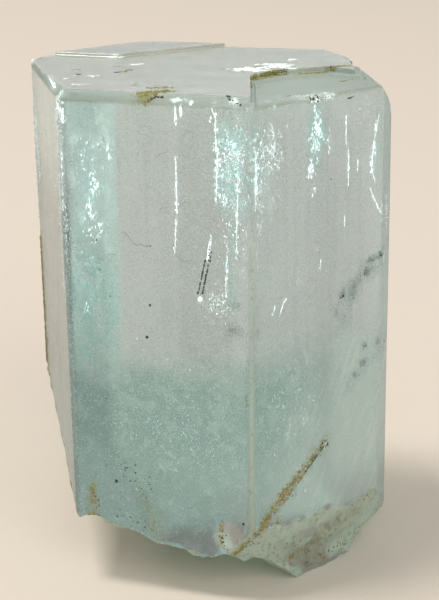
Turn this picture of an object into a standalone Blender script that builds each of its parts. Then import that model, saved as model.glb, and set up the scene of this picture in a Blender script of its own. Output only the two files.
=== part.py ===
"""Aquamarine crystal: a stout six-sided beryl prism on its own broken base.

One solid.  Its flat top has three growth terraces, its side faces are the flat faces of a
hexagonal prism, and its base is an irregular break with one flat patch to rest on.
Lengths are in millimetres until the finished mesh is scaled.  X runs to the right, Y to the
back and Z up, with the flat patch of the base at Z = 0.
"""
import math

import bmesh
import bpy
from mathutils import Matrix, Vector, noise

MM = 0.001
NAME = "aquamarine_crystal"
WELD = 0.02                # corners closer than this are one corner

# --- overall form -------------------------------------------------------------------------
TOP = 43.2                 # height of the main top terrace
BACK_TERRACE_RISE = 0.25   # the growth terrace along the back edge, above the main one
LEAN = 0.0145              # the prism leans to the left by this much for each unit of height

# Corners of the prism seen from above, anticlockwise from the front left edge.
LEFT_EDGE = (-11.63, -10.58)
NEAR_EDGE = (3.75, -15.0)
RIGHT_EDGE = (14.84, -4.3)
OUTLINE = [
    LEFT_EDGE,
    NEAR_EDGE,
    RIGHT_EDGE,
    (15.75, -2.2),         # narrow face along the right edge
    (15.2, 0.2),
    (12.95, 3.4),          # end of the grown-on right front slab
    (12.5, 6.4),
    (10.8, 10.9),
    (3.4, 12.2),
    (2.4, 12.9),           # small step in the back face
    (-6.0, 14.8),
    (-15.6, 5.6),          # back left edge
]

# --- growth terraces on the top -----------------------------------------------------------
# Each is cut down to its depth below TOP, over the ground inside its outline.
BEYOND = 20.0
MAIN_TERRACE = [(-BEYOND, 9.3), (-10.2, 6.6), (-7.9, 6.0), (4.2, 14.9), (BEYOND, 14.9),
                (BEYOND, -BEYOND), (-BEYOND, -BEYOND)]
SLAB_TERRACE = [(3.5, -BEYOND), (3.75, -4.0), (6.5, -0.9), (10.3, 0.9), (12.66, -1.1),
                (12.66, 3.8), (BEYOND, 3.8), (BEYOND, -BEYOND)]
SLAB_LEDGE = [(3.8, -BEYOND), (4.1, -4.6), (7.0, -1.9), (10.5, -0.4), (13.4, -2.2),
              (13.4, 3.9), (BEYOND, 3.9), (BEYOND, -BEYOND)]
SLAB_TERRACE_DEPTH = 0.38
SLAB_LEDGE_DEPTH = 0.66

# --- small facets that blunt the edges ----------------------------------------------------
# Each is a point on the facet, the heading it faces in plan, and how far it faces up.
FACETS = [
    ((14.3, -1.5, TOP - 0.8), 6.0, 49.0),       # rounded upper corner of the slab
    ((15.05, -1.5, TOP - 1.7), 4.0, 34.0),
    ((15.5, -1.8, TOP - 2.5), 3.0, 22.0),
    ((15.7, -2.2, TOP - 3.3), 2.0, 8.0),
    ((-11.3, -10.2, TOP - 0.35), -137.0, 42.0), # blunt corner over the left edge
    ((-13.6, -2.4, TOP - 0.16), -162.0, 46.0),  # worn top edge of the left face
    ((-15.1, 5.3, TOP - 0.1), 164.0, 50.0),
    ((-4.9, -12.5, TOP - 0.42), -103.8, 48.0),  # worn front top edge
    ((0.5, -14.1, TOP - 0.62), -101.0, 40.0),
]
# Upright facets along prism edges: corner, how far it is cut back, heading faced in plan.
UPRIGHT_FACETS = [
    (LEFT_EDGE, 0.17, -136.0),
    (NEAR_EDGE, 0.03, -76.0),
    ((-15.6, 5.6), 0.12, 166.0),
    ((-6.0, 14.8), 0.5, 104.0),
]

# --- chips, pits and grooves --------------------------------------------------------------
SCOOP_UNEVENNESS = 0.18    # share of its radius by which a scoop's wall wanders
SCOOP_WAVES = 2.3          # waves of that for each unit of length
# Chips on the top edges: centre and radius.
CHIPS = [
    ((2.4, -15.0, TOP + 0.1), 0.62),
    ((3.2, -14.9, TOP - 0.5), 0.42),
    ((8.7, -10.5, TOP - 0.6), 0.55),
    ((-3.6, -13.2, TOP + 0.15), 0.50),
    ((-10.4, -11.2, TOP + 0.2), 0.45),
    ((11.9, -7.5, TOP - 0.7), 0.38),
]
# Pits on the main terrace: centre and radius of the scoop, which is mostly above the surface.
PITS = [
    ((-7.6, 0.6, TOP + 0.55), 0.72),
    ((-10.9, -1.0, TOP + 0.45), 0.60),
    ((-5.4, -8.6, TOP + 0.60), 0.78),
    ((4.6, 0.4, TOP + 0.60), 0.80),
]
# Grooves: the two ends, on a face, and the half width of the V.
SUTURE = ((3.62, -14.96, TOP + 0.4), (2.95, -14.77, 3.0), 0.11)
STAINED_CRACK = ((9.95, -9.02, 12.6), (1.55, -16.1, 3.6), 0.26)

# --- broken base --------------------------------------------------------------------------
# Break planes under the crystal: a point on the plane, the heading in which it climbs, and
# its slope.  Where all of them are below zero the base is the flat patch.
BREAK_PLANES = [
    ((3.75, -15.0, 4.1), -122.0, 26.0),     # under the front left face
    ((-11.63, -10.58, 6.3), 169.0, 49.0),   # under the left face
    ((-6.0, 14.8, 6.6), 112.0, 41.0),       # under the back
    ((15.5, -3.4, 3.2), 4.0, 27.0),         # under the right end
]
# Lumps that hang lower than those planes: centre in plan, radius, and how much lower.
BREAK_LUMPS = [
    ((-2.0, -13.4), 3.4, 0.9),
    ((8.6, -9.8), 3.0, 1.3),
    ((12.3, -6.6), 2.8, 0.9),
]
BREAK_SPAN = 19.0          # half width of the ground that the break covers
BREAK_STEP = 0.95          # spacing of its points
BODY_FLOOR = -3.0          # the uncut prism reaches this far below the flat patch
BREAK_FLOOR = -6.0
RIPPLE_HEIGHT = 0.42
RIPPLE_LENGTH = 3.3
RIPPLE_CENTRES = [(-17.0, -15.0), (17.0, 6.0)]   # where the breaking blows landed
RIPPLE_BEND = 0.7          # how far the waves stray, in wave lengths
RIPPLE_BEND_WAVES = 0.11
ROUGHNESS = 0.30
ROUGHNESS_WAVES = 0.45
BREAK_BLEND = (0.3, 2.5)   # heights over which the waves grow from nothing to full

# The break under the right front face: it starts at RIM heights above the flat patch, at
# distances along the face from the near edge, and cuts back as it goes down.
RIM = [(-3.0, 8.4), (0.0, 7.0), (2.8, 6.2), (8.7, 6.1), (12.0, 5.3), (16.1, 6.1), (20.0, 6.6)]
UNDERCUT_AT_NEAR_EDGE = 0.62
UNDERCUT = 0.12
UNDERCUT_FADE = 4.5        # distance along the face over which the first becomes the second
SCALLOP_DEPTH = 0.45
SCALLOP_LENGTH = 3.1
SCALLOP_CENTRE = (19.0, 7.5)   # distance along the face and height of the blow
SCALLOP_BLEND = 2.5        # drop below the rim over which the scallops grow to full
FRONT_BREAK_SPAN = (-3.0, 19.0)     # distances along the face that the cutter covers
FRONT_BREAK_LEVELS = (-3.0, 9.0)    # heights that it covers
FRONT_BREAK_GRID = (26, 14)
FRONT_BREAK_REACH = 9.0    # how far it stands out in front of the face


def heading(degrees):
    """Unit vector in plan; 0 is to the right and 90 to the back."""
    angle = math.radians(degrees)
    return Vector((math.cos(angle), math.sin(angle), 0.0))


def make_collection(name):
    collection = bpy.data.collections.new(name)
    bpy.context.scene.collection.children.link(collection)
    return collection


def make_object(name, bm, collection):
    """Turn a bmesh into an object with its faces pointing out."""
    bmesh.ops.recalc_face_normals(bm, faces=bm.faces)
    mesh = bpy.data.meshes.new(name)
    bm.to_mesh(mesh)
    bm.free()
    obj = bpy.data.objects.new(name, mesh)
    collection.objects.link(obj)
    return obj


def prism(outline, bottom, top):
    """Upright prism from a flat outline, as a bmesh."""
    curve = bpy.data.curves.new("outline", "CURVE")
    curve.dimensions = "2D"
    curve.fill_mode = "BOTH"
    curve.extrude = (top - bottom) / 2.0
    spline = curve.splines.new("POLY")
    spline.points.add(len(outline) - 1)
    for point, (x, y) in zip(spline.points, outline):
        point.co = (x, y, 0.0, 1.0)
    spline.use_cyclic_u = True
    guide = bpy.data.objects.new("outline", curve)
    bpy.context.scene.collection.objects.link(guide)
    depsgraph = bpy.context.evaluated_depsgraph_get()
    mesh = bpy.data.meshes.new_from_object(guide.evaluated_get(depsgraph))
    bm = bmesh.new()
    bm.from_mesh(mesh)
    bmesh.ops.remove_doubles(bm, verts=bm.verts, dist=0.0001)
    bmesh.ops.dissolve_limit(bm, angle_limit=math.radians(0.1), verts=bm.verts, edges=bm.edges)
    bmesh.ops.translate(bm, verts=bm.verts, vec=(0.0, 0.0, (top + bottom) / 2.0))
    bpy.data.objects.remove(guide)
    bpy.data.meshes.remove(mesh)
    return bm


def slice_off(bm, point, normal):
    """Cut away what lies beyond a plane, and close the cut with a flat facet."""
    geometry = bm.verts[:] + bm.edges[:] + bm.faces[:]
    cut = bmesh.ops.bisect_plane(bm, geom=geometry, dist=0.0001, plane_co=point,
                                 plane_no=normal, clear_outer=True)
    rim = [item for item in cut["geom_cut"] if isinstance(item, bmesh.types.BMEdge)]
    bmesh.ops.contextual_create(bm, geom=rim)


def crystal_body():
    """The prism with its blunted edges, tall enough for the highest terrace."""
    bm = prism(OUTLINE, BODY_FLOOR, TOP + BACK_TERRACE_RISE)
    for (x, y), depth, face in UPRIGHT_FACETS:
        normal = heading(face)
        slice_off(bm, Vector((x, y, 0.0)) - normal * depth, normal)
    for point, face, tilt in FACETS:
        up = math.radians(tilt)
        normal = heading(face) * math.cos(up) + Vector((0.0, 0.0, math.sin(up)))
        slice_off(bm, Vector(point), normal)
    return bm


def v_groove(start, end, half_width):
    """Long four-sided needle that leaves a V along a face."""
    start = Vector(start)
    end = Vector(end)
    along = end - start
    bm = bmesh.new()
    bmesh.ops.create_cone(bm, cap_ends=True, segments=4, radius1=half_width,
                          radius2=half_width * 0.6, depth=along.length)
    turn = along.to_track_quat("Z", "Y").to_matrix().to_4x4()
    place = Matrix.Translation((start + end) / 2.0) @ turn
    bmesh.ops.transform(bm, matrix=place, verts=bm.verts)
    return bm


def scoop(centre, radius):
    """Coarse ball that breaks a chip out of an edge or a pit out of a face."""
    bm = bmesh.new()
    bmesh.ops.create_icosphere(bm, subdivisions=2, radius=radius)
    for vert in bm.verts:
        unevenness = noise.noise(vert.co * SCOOP_WAVES + Vector(centre))
        vert.co *= 1.0 + SCOOP_UNEVENNESS * unevenness
    bmesh.ops.translate(bm, verts=bm.verts, vec=centre)
    return bm


def smooth_between(low, high, value):
    """0 below low, 1 above high, and smooth between them."""
    share = min(max((value - low) / (high - low), 0.0), 1.0)
    return share * share * (3.0 - 2.0 * share)


def ripple(x, y):
    """Shell-like waves that spread from where the crystal was struck."""
    height = 0.0
    for centre_x, centre_y in RIPPLE_CENTRES:
        distance = math.hypot(x - centre_x, y - centre_y)
        bend = noise.noise(Vector((x, y, 0.0)) * RIPPLE_BEND_WAVES)
        phase = distance / RIPPLE_LENGTH + RIPPLE_BEND * bend
        height += abs(math.sin(math.pi * phase)) - 0.5
    return RIPPLE_HEIGHT * height


def break_height(x, y):
    """Height of the broken base above the flat patch."""
    height = -1.0
    for (px, py, pz), climb, slope in BREAK_PLANES:
        direction = heading(climb)
        run = (x - px) * direction.x + (y - py) * direction.y
        height = max(height, pz + run * math.tan(math.radians(slope)))
    for (cx, cy), radius, drop in BREAK_LUMPS:
        height -= drop * math.exp(-((x - cx) ** 2 + (y - cy) ** 2) / radius ** 2)
    rough = ROUGHNESS * noise.noise(Vector((x, y, 0.0)) * ROUGHNESS_WAVES)
    height += (ripple(x, y) + rough) * smooth_between(*BREAK_BLEND, height)
    return max(height, 0.0)


def base_break():
    """Everything under the broken base, as a block with the break for its top."""
    count = round(2.0 * BREAK_SPAN / BREAK_STEP)
    bm = bmesh.new()
    bmesh.ops.create_grid(bm, x_segments=count, y_segments=count, size=BREAK_SPAN)
    surface = bm.verts[:]
    block = bmesh.ops.extrude_face_region(bm, geom=bm.faces[:])
    for item in block["geom"]:
        if isinstance(item, bmesh.types.BMVert):
            item.co.z = BREAK_FLOOR
    for vert in surface:
        shift = noise.noise_vector(Vector((vert.co.x * 1.7, vert.co.y * 1.7, 0.0)))
        if max(abs(vert.co.x), abs(vert.co.y)) < BREAK_SPAN - 0.1:
            vert.co.x += 0.3 * BREAK_STEP * shift.x
            vert.co.y += 0.3 * BREAK_STEP * shift.y
        vert.co.z = break_height(vert.co.x, vert.co.y)
    bmesh.ops.triangulate(bm, faces=bm.faces)
    return bm


def rim_height(distance):
    """Height at which the right front face ends, along that face."""
    for (start, low), (end, high) in zip(RIM, RIM[1:]):
        if distance <= end:
            return low + (high - low) * smooth_between(start, end, distance)
    return RIM[-1][1]


def front_break():
    """What has broken away under the right front face, as a block with the break for its back."""
    near = Vector((*NEAR_EDGE, 0.0))
    along = (Vector((*RIGHT_EDGE, 0.0)) - near).normalized()
    inward = Vector((-along.y, along.x, 0.0))
    left, right = FRONT_BREAK_SPAN
    low, high = FRONT_BREAK_LEVELS
    columns, rows = FRONT_BREAK_GRID
    bm = bmesh.new()
    bmesh.ops.create_grid(bm, x_segments=columns, y_segments=rows, size=0.5)
    surface = bm.verts[:]
    block = bmesh.ops.extrude_face_region(bm, geom=bm.faces[:])
    outer = [item for item in block["geom"] if isinstance(item, bmesh.types.BMVert)]
    for vert in bm.verts:
        vert.co.x = left + (vert.co.x + 0.5) * (right - left)
        vert.co.y = low + (vert.co.y + 0.5) * (high - low)
    for vert in surface:
        distance = vert.co.x
        level = vert.co.y
        drop = rim_height(distance) - level
        fade = smooth_between(0.0, UNDERCUT_FADE, distance)
        slope = UNDERCUT_AT_NEAR_EDGE + (UNDERCUT - UNDERCUT_AT_NEAR_EDGE) * fade
        spread = math.hypot(distance - SCALLOP_CENTRE[0], level - SCALLOP_CENTRE[1])
        rough = noise.noise(Vector((distance * 0.5, level * 0.7, 1.0)))
        wave = abs(math.sin(math.pi * (spread / SCALLOP_LENGTH + rough)))
        scallop = SCALLOP_DEPTH * (wave + rough) * smooth_between(0.0, SCALLOP_BLEND, drop)
        depth = slope * drop + scallop
        vert.co = near + along * distance + inward * depth + Vector((0.0, 0.0, level))
    for vert in outer:
        distance = vert.co.x
        level = vert.co.y
        outside = along * distance - inward * FRONT_BREAK_REACH
        vert.co = near + outside + Vector((0.0, 0.0, level))
    bmesh.ops.triangulate(bm, faces=bm.faces)
    return bm


def cut_with(obj, cutter):
    """Take a cutter's volume out of the crystal."""
    cutter.hide_render = True
    cutter.display_type = "WIRE"
    modifier = obj.modifiers.new(cutter.name, "BOOLEAN")
    modifier.operation = "DIFFERENCE"
    modifier.solver = "EXACT"
    modifier.object = cutter


def make_cutters(collection):
    """Every cutter of the crystal, in the order in which they cut."""
    cutters = []

    def add(name, bm):
        cutters.append(make_object(name, bm, collection))

    above = TOP + 3.0
    add("main_terrace_cut", prism(MAIN_TERRACE, TOP, above))
    add("slab_terrace_cut", prism(SLAB_TERRACE, TOP - SLAB_TERRACE_DEPTH, above))
    add("slab_ledge_cut", prism(SLAB_LEDGE, TOP - SLAB_LEDGE_DEPTH, above))
    add("base_break", base_break())
    add("front_break", front_break())
    add("suture_groove", v_groove(*SUTURE))
    add("stained_crack_groove", v_groove(*STAINED_CRACK))
    for number, (centre, radius) in enumerate(CHIPS, start=1):
        add(f"edge_chip_{number}", scoop(centre, radius))
    for number, (centre, radius) in enumerate(PITS, start=1):
        add(f"top_pit_{number}", scoop(centre, radius))
    return cutters


def settle(obj):
    """Apply the cuts, lean the prism, and stand it on the middle of its box, in metres."""
    depsgraph = bpy.context.evaluated_depsgraph_get()
    mesh = bpy.data.meshes.new_from_object(obj.evaluated_get(depsgraph))
    obj.modifiers.clear()
    bm = bmesh.new()
    bm.from_mesh(mesh)
    bmesh.ops.remove_doubles(bm, verts=bm.verts, dist=WELD)
    bmesh.ops.dissolve_degenerate(bm, edges=bm.edges, dist=WELD)
    bm.to_mesh(mesh)
    bm.free()
    lean = Matrix.Identity(4)
    lean[0][2] = -LEAN
    mesh.transform(lean)
    middle = Vector((0.0, 0.0, 0.0))
    for axis in (0, 1):
        values = [vert.co[axis] for vert in mesh.vertices]
        middle[axis] = (min(values) + max(values)) / 2.0
    mesh.transform(Matrix.Scale(MM, 4) @ Matrix.Translation(-middle))
    old = obj.data
    obj.data = mesh
    bpy.data.meshes.remove(old)


def aquamarine():
    """Clear pale blue-green beryl."""
    material = bpy.data.materials.new("aquamarine")
    material.use_nodes = True
    shader = material.node_tree.nodes["Principled BSDF"]
    shader.inputs["Base Color"].default_value = (0.62, 0.78, 0.74, 1.0)
    shader.inputs["Roughness"].default_value = 0.12
    shader.inputs["Metallic"].default_value = 0.0
    shader.inputs["IOR"].default_value = 1.577
    shader.inputs["Transmission Weight"].default_value = 0.8
    return material


def main():
    for obj in list(bpy.data.objects):
        bpy.data.objects.remove(obj)
    parts = make_collection(NAME)
    cutters = make_collection("cutters")
    crystal = make_object(NAME, crystal_body(), parts)
    for cutter in make_cutters(cutters):
        cut_with(crystal, cutter)
    settle(crystal)
    crystal.data.materials.clear()
    crystal.data.materials.append(aquamarine())


main()
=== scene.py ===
"""Dresses the aquamarine crystal.

The body is clear beryl with a cloudy skin. Growth tubes, feathers, healed cracks and mineral grains
lie inside it, iron stains sit on its top and its broken foot, and it stands on a plain pale floor.
"""

import math
import random

import bmesh
import bpy
from bpy.props import FloatProperty, FloatVectorProperty, IntProperty, PointerProperty
from mathutils import Matrix, Vector, noise
from mathutils.bvhtree import BVHTree


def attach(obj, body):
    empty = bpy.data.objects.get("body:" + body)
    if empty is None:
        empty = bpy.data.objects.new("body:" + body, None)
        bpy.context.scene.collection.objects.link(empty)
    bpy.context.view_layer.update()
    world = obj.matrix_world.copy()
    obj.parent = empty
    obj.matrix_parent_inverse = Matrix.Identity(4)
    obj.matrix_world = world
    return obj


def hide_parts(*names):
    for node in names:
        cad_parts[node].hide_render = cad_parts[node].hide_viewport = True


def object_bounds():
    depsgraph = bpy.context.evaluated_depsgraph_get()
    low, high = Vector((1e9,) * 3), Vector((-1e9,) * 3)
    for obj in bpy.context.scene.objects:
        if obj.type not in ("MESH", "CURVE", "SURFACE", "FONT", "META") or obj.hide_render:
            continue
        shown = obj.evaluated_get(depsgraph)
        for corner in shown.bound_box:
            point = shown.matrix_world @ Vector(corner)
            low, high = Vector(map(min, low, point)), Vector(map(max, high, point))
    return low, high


bl_info = {
    "name": "Aquamarine Crystal",
    "version": (1, 0, 0),
    "blender": (4, 5, 0),
    "location": "View3D > Sidebar > Crystal",
    "description": "Builds the surface, inclusions, stains and stage of an aquamarine crystal",
    "category": "Add Mesh",
}

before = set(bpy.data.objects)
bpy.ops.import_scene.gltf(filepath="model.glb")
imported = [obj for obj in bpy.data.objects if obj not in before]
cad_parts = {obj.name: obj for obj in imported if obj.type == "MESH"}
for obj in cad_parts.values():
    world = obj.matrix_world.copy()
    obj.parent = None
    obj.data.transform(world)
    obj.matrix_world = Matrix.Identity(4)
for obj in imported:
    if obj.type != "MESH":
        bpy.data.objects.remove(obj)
CAD_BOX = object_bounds()

MM = 0.001
NODE = "aquamarine_crystal"
BODY = "root"
UP = Vector((0.0, 0.0, 1.0))

# Stretches of a pattern along the axes: none, flattened to the plan, and drawn out into upright
# columns and into fine upright striae.
EVEN, PLAN = (1.0, 1.0, 1.0), (1.0, 1.0, 0.0)
COLUMNS, STRIAE = (1.0, 1.0, 0.04), (1.0, 1.0, 0.05)


# Shader arithmetic


class Value:
    """A number socket of a finish; arithmetic on it adds Math nodes."""

    def __init__(self, finish, socket):
        self.finish = finish
        self.socket = socket

    def maths(self, operation, *others):
        """Joins this value and the others with one Math node."""
        sockets = {0: self}
        sockets.update({i + 1: other for i, other in enumerate(others)})
        return self.finish.node("ShaderNodeMath", {"operation": operation}, sockets)

    def __add__(self, other):
        return self.maths("ADD", other)

    __radd__ = __add__

    def __sub__(self, other):
        return self.maths("SUBTRACT", other)

    def __rsub__(self, other):
        return self.maths("MULTIPLY_ADD", -1.0, other)

    def __mul__(self, other):
        return self.maths("MULTIPLY", other)

    __rmul__ = __mul__

    def __abs__(self):
        return self.maths("ABSOLUTE")

    def __pow__(self, other):
        return self.maths("POWER", other)

    def least(self, other):
        """The smaller of the two."""
        return self.maths("MINIMUM", other)

    def most(self, other):
        """The larger of the two."""
        return self.maths("MAXIMUM", other)

    def ramp(self, low, high, start=0.0, end=1.0):
        """A smooth change from start at low to end at high, flat outside them."""
        settings = {"interpolation_type": "SMOOTHSTEP"}
        sockets = {"Value": self, "From Min": low, "From Max": high, "To Min": start, "To Max": end}
        return self.finish.node("ShaderNodeMapRange", settings, sockets, "Result")


class Finish:
    """A material whose Principled BSDF is wired up in code."""

    def __init__(self, name):
        self.material = bpy.data.materials.new(name)
        self.material.use_nodes = True
        self.tree = self.material.node_tree
        self.surface = self.tree.nodes["Principled BSDF"]
        self.output = self.tree.nodes["Material Output"]
        self.surface_point = None

    def node(self, kind, settings=None, sockets=None, out=0):
        """Adds a node, sets it up, feeds its sockets and gives back one of its outputs."""
        made = self.tree.nodes.new(kind)
        for key, setting in (settings or {}).items():
            setattr(made, key, setting)
        for key, value in (sockets or {}).items():
            self.feed(made.inputs[key], value)
        return Value(self, made.outputs[out])

    def feed(self, socket, value):
        """Links a value to a socket, or sets the socket's own number or colour."""
        if isinstance(value, Value):
            self.tree.links.new(value.socket, socket)
        elif socket.type == "RGBA":
            socket.default_value = (*value[:3], 1.0)
        else:
            socket.default_value = value

    def set(self, **sockets):
        """Feeds sockets of the Principled BSDF; an underscore stands for a space."""
        for key, value in sockets.items():
            self.feed(self.surface.inputs[key.replace("_", " ")], value)

    def point(self):
        """The place on the object in millimetres."""
        if self.surface_point is None:
            coordinates = self.node("ShaderNodeTexCoord", out="Object")
            self.surface_point = self.node(
                "ShaderNodeVectorMath", {"operation": "SCALE"}, {0: coordinates, "Scale": 1.0 / MM}
            )
        return self.surface_point

    def stretched(self, x, y, z):
        """The place in millimetres, scaled along each axis."""
        return self.node(
            "ShaderNodeVectorMath", {"operation": "MULTIPLY"}, {0: self.point(), 1: (x, y, z)}
        )

    def axis(self, letter):
        """One coordinate of the place in millimetres."""
        return self.node("ShaderNodeSeparateXYZ", None, {0: self.point()}, letter)

    def noise_at(self, place, detail, rough, warp=0.0):
        """Cloudy noise at a place counted in spots, from 0 to 1."""
        sockets = {"Vector": place, "Detail": detail, "Roughness": rough, "Distortion": warp}
        return self.node("ShaderNodeTexNoise", None, {**sockets, "Scale": 1.0}, "Fac")

    def noise(self, size, detail=2.0, rough=0.5, warp=0.0, stretch=EVEN):
        """Cloudy noise with spots about size millimetres wide, from 0 to 1."""
        return self.noise_at(self.stretched(*(s / size for s in stretch)), detail, rough, warp)

    def off(self, place, stretch=EVEN):
        """Distance in millimetres from one point, scaled along each axis."""
        vector = "ShaderNodeVectorMath"
        away = self.node(vector, {"operation": "SUBTRACT"}, {0: self.point(), 1: place})
        away = self.node(vector, {"operation": "MULTIPLY"}, {0: away, 1: stretch})
        return self.node(vector, {"operation": "LENGTH"}, {0: away}, "Value")

    def painted(self, name):
        """A number that the mesh carries at its points."""
        return self.node("ShaderNodeAttribute", {"attribute_name": name}, None, "Fac")

    def cells(self, size):
        """Distance to the nearest of points about size millimetres apart, in such sizes."""
        sockets = {"Vector": self.stretched(*(s / size for s in EVEN)), "Scale": 1.0}
        return self.node("ShaderNodeTexVoronoi", {"feature": "F1"}, sockets, "Distance")

    def mix(self, share, first, second):
        """A colour between first and second."""
        settings = {"data_type": "RGBA"}
        return self.node("ShaderNodeMix", settings, {0: share, 6: first, 7: second}, 2)

    def layered(self, colour, layers):
        """A colour under layers, each a share and the colour that it lays over those before."""
        for share, over in layers:
            colour = self.mix(share, colour, over)
        return colour

    def bump(self, height, depth):
        """A normal that follows height, with depth in millimetres between 0 and 1."""
        sockets = {"Strength": 1.0, "Distance": depth * MM, "Height": height}
        return self.node("ShaderNodeBump", None, sockets)

    def absorb(self, colour, density):
        """Fills the inside with a plain absorption."""
        sockets = {"Color": colour, "Density": density}
        inside = self.node("ShaderNodeVolumeAbsorption", None, sockets)
        self.feed(self.output.inputs["Volume"], inside)


# Mesh helpers


def new_piece(name, bm, finish, smooth_angle=None):
    """Turns a bmesh in millimetres into a finished object that rides on the crystal."""
    bmesh.ops.scale(bm, vec=(MM, MM, MM), verts=bm.verts)
    bm.normal_update()
    mesh = bpy.data.meshes.new(name)
    bm.to_mesh(mesh)
    bm.free()
    mesh.materials.clear()
    mesh.materials.append(finish.material)
    if smooth_angle is not None:
        mesh.polygons.foreach_set("use_smooth", [True] * len(mesh.polygons))
        mesh.set_sharp_from_angle(angle=math.radians(smooth_angle))
    piece = bpy.data.objects.new(name, mesh)
    bpy.context.scene.collection.objects.link(piece)
    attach(piece, BODY)
    return piece


def gather(bm, part):
    """Moves a small bmesh into a large one, which is quicker than building it there."""
    mesh = bpy.data.meshes.new("part")
    part.to_mesh(mesh)
    part.free()
    bm.from_mesh(mesh)
    bpy.data.meshes.remove(mesh)


def cad_solid():
    """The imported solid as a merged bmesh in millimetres, with its flat faces joined up."""
    bm = bmesh.new()
    bm.from_mesh(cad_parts[NODE].data)
    bmesh.ops.scale(bm, vec=(1.0 / MM,) * 3, verts=bm.verts)
    bmesh.ops.remove_doubles(bm, verts=bm.verts, dist=0.001)
    flat = math.radians(0.4)
    bmesh.ops.dissolve_limit(bm, angle_limit=flat, verts=bm.verts, edges=bm.edges)
    bm.normal_update()
    return bm


# Settings that are a colour or a share


def tint(name, description, default):
    """A setting that holds a colour."""
    return FloatVectorProperty(
        name=name, description=description, subtype="COLOR", size=3, default=default
    )


def fraction(name, description, default):
    """A setting between 0 and 1."""
    return FloatProperty(
        name=name, description=description, subtype="FACTOR", min=0.0, max=1.0, default=default
    )


# The crystal's own body

# Where the two front walls meet, in plan.
SEAM = Vector((3.4, -14.8))

# Faces of the solid below this height and smaller than this, in square millimetres, are the broken
# foot. Edges sharper than this, in degrees, are worn.
FOOT_TOP, FOOT_FACE, WORN_ANGLE = 17.0, 12.0, 18.0

# The crack at the lower right, from its upper end to the foot.
CRACK = (
    (10.0, -8.9, 12.5), (8.4, -10.4, 11.2), (5.9, -12.8, 8.8), (4.4, -14.3, 7.2), (2.2, -13.5, 4.2)
)

# The surface's unevenness: how closely its waves follow each other and how high they are, on the
# walls, in the coarse and fine ripples of the foot; and the height below which it fades.
WALL_WAVES, WALL_SWELL = (0.45, 0.45, 0.07), 0.035
COARSE_RIPPLES, COARSE_SWELL = 0.9, 0.16
FINE_RIPPLES, FINE_SWELL = 2.6, 0.07
CALM_BELOW = 0.4

# Where iron has soaked in: a path of points, the reach of the stain, its strength.
STAINS = (
    (CRACK, 0.75, 0.9),
    (((-5.3, -12.2, 42.9), (-4.2, -11.5, 43.1), (-3.0, -11.3, 43.2)), 1.0, 1.0),
    (((3.6, -3.7, 42.9), (6.5, -0.5, 42.9)), 0.6, 1.0),
    (((7.4, -0.8, 42.9), (12.2, 1.6, 43.0)), 0.8, 0.9),
    (((-10.0, -10.8, 9.3), (-10.1, -10.8, 6.5)), 0.6, 0.8),
    (((7.1, -10.8, 2.5), (10.6, -7.8, 3.6), (12.8, -5.5, 4.6)), 1.6, 0.5),
    (((-5.9, -12.0, 9.0), (-4.6, -12.3, 6.0), (-4.5, -12.4, 5.0)), 1.0, 0.35),
    (((-15.7, 5.2, 28.0), (-15.2, 4.4, 13.5)), 0.9, 1.0),
)

# Where dark clouds show in the walls: a path of points, the reach of the cloud, its strength.
CLOUDS = (
    (((15.3, -2.0, 28.6), (14.4, -3.9, 27.7)), 1.0, 1.0),
    (((14.4, -3.9, 27.7), (13.0, -5.2, 27.2)), 1.1, 1.0),
    (((14.2, -4.1, 26.9), (12.6, -5.7, 26.3), (11.0, -7.2, 25.2)), 1.2, 0.9),
    (((12.2, -6.0, 25.6), (11.4, -6.8, 24.0), (11.2, -7.0, 23.0)), 1.3, 0.8),
    (((15.6, -1.4, 31.0), (15.5, -1.6, 28.6)), 1.0, 0.8),
    (((13.1, -5.2, 20.0), (13.4, -4.9, 19.7)), 0.8, 0.9),
    (((15.3, -2.4, 20.0), (14.6, -3.7, 19.2), (13.2, -5.1, 18.2)), 1.2, 0.85),
    (((13.2, -5.1, 18.0), (12.0, -6.3, 17.0)), 1.5, 0.7),
    (((1.8, -13.8, 24.4), (2.6, -14.1, 24.5)), 1.1, 0.62),
    (((2.0, -13.9, 26.5), (2.5, -14.0, 26.4)), 0.8, 0.7),
)

# Teal spots in the skin: centre, stretch, the radii where it sets in and is full, strength.
TEAL_SPOTS = (
    ((2.2, -14.1, 38.2), (1.0, 1.0, 0.4), (2.6, 1.0), 1.0),
    ((8.5, -9.6, 39.3), (1.0, 1.0, 0.5), (1.8, 0.7), 1.0),
    ((13.8, -4.2, 37.2), (1.0, 1.0, 0.3), (1.3, 0.5), 0.6),
    ((1.9, -13.9, 29.5), (1.6, 1.0, 0.25), (1.5, 0.6), 0.7),
)
PINK_SPOT = (1.7, -14.1, 6.1)

# Where zones of the skin set in and are full, in millimetres. Along X: the right wall, the blue
# band, which is painted light refracted through the left face, and the narrow right facet, which is
# painted shade. Along Y: the front. Upwards: the slab's shelf, the top, the terrace behind it,
# whose riser is painted shade, and the rounded rim.
RIGHT_WALL_X, PAINTED_BAND_X, FACET_X = (3.2, 4.2), (-7.15, -7.45), (14.45, 14.75)
FRONT_Y = (-7.0, -8.0)
SHELF_Z, TOP_Z = (42.1, 42.4), (43.05, 43.18)
TERRACE_FOOT_Z, TERRACE_HEAD_Z = (43.24, 43.28), (43.44, 43.40)
RIM_FOOT_Z, RIM_HEAD_Z = (42.3, 42.6), (43.17, 43.08)

# Directions in the front view, as shares of X and Z: across and along the pale plumes.
ACROSS, ALONG = (0.93, -0.37), (0.37, 0.93)
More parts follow.
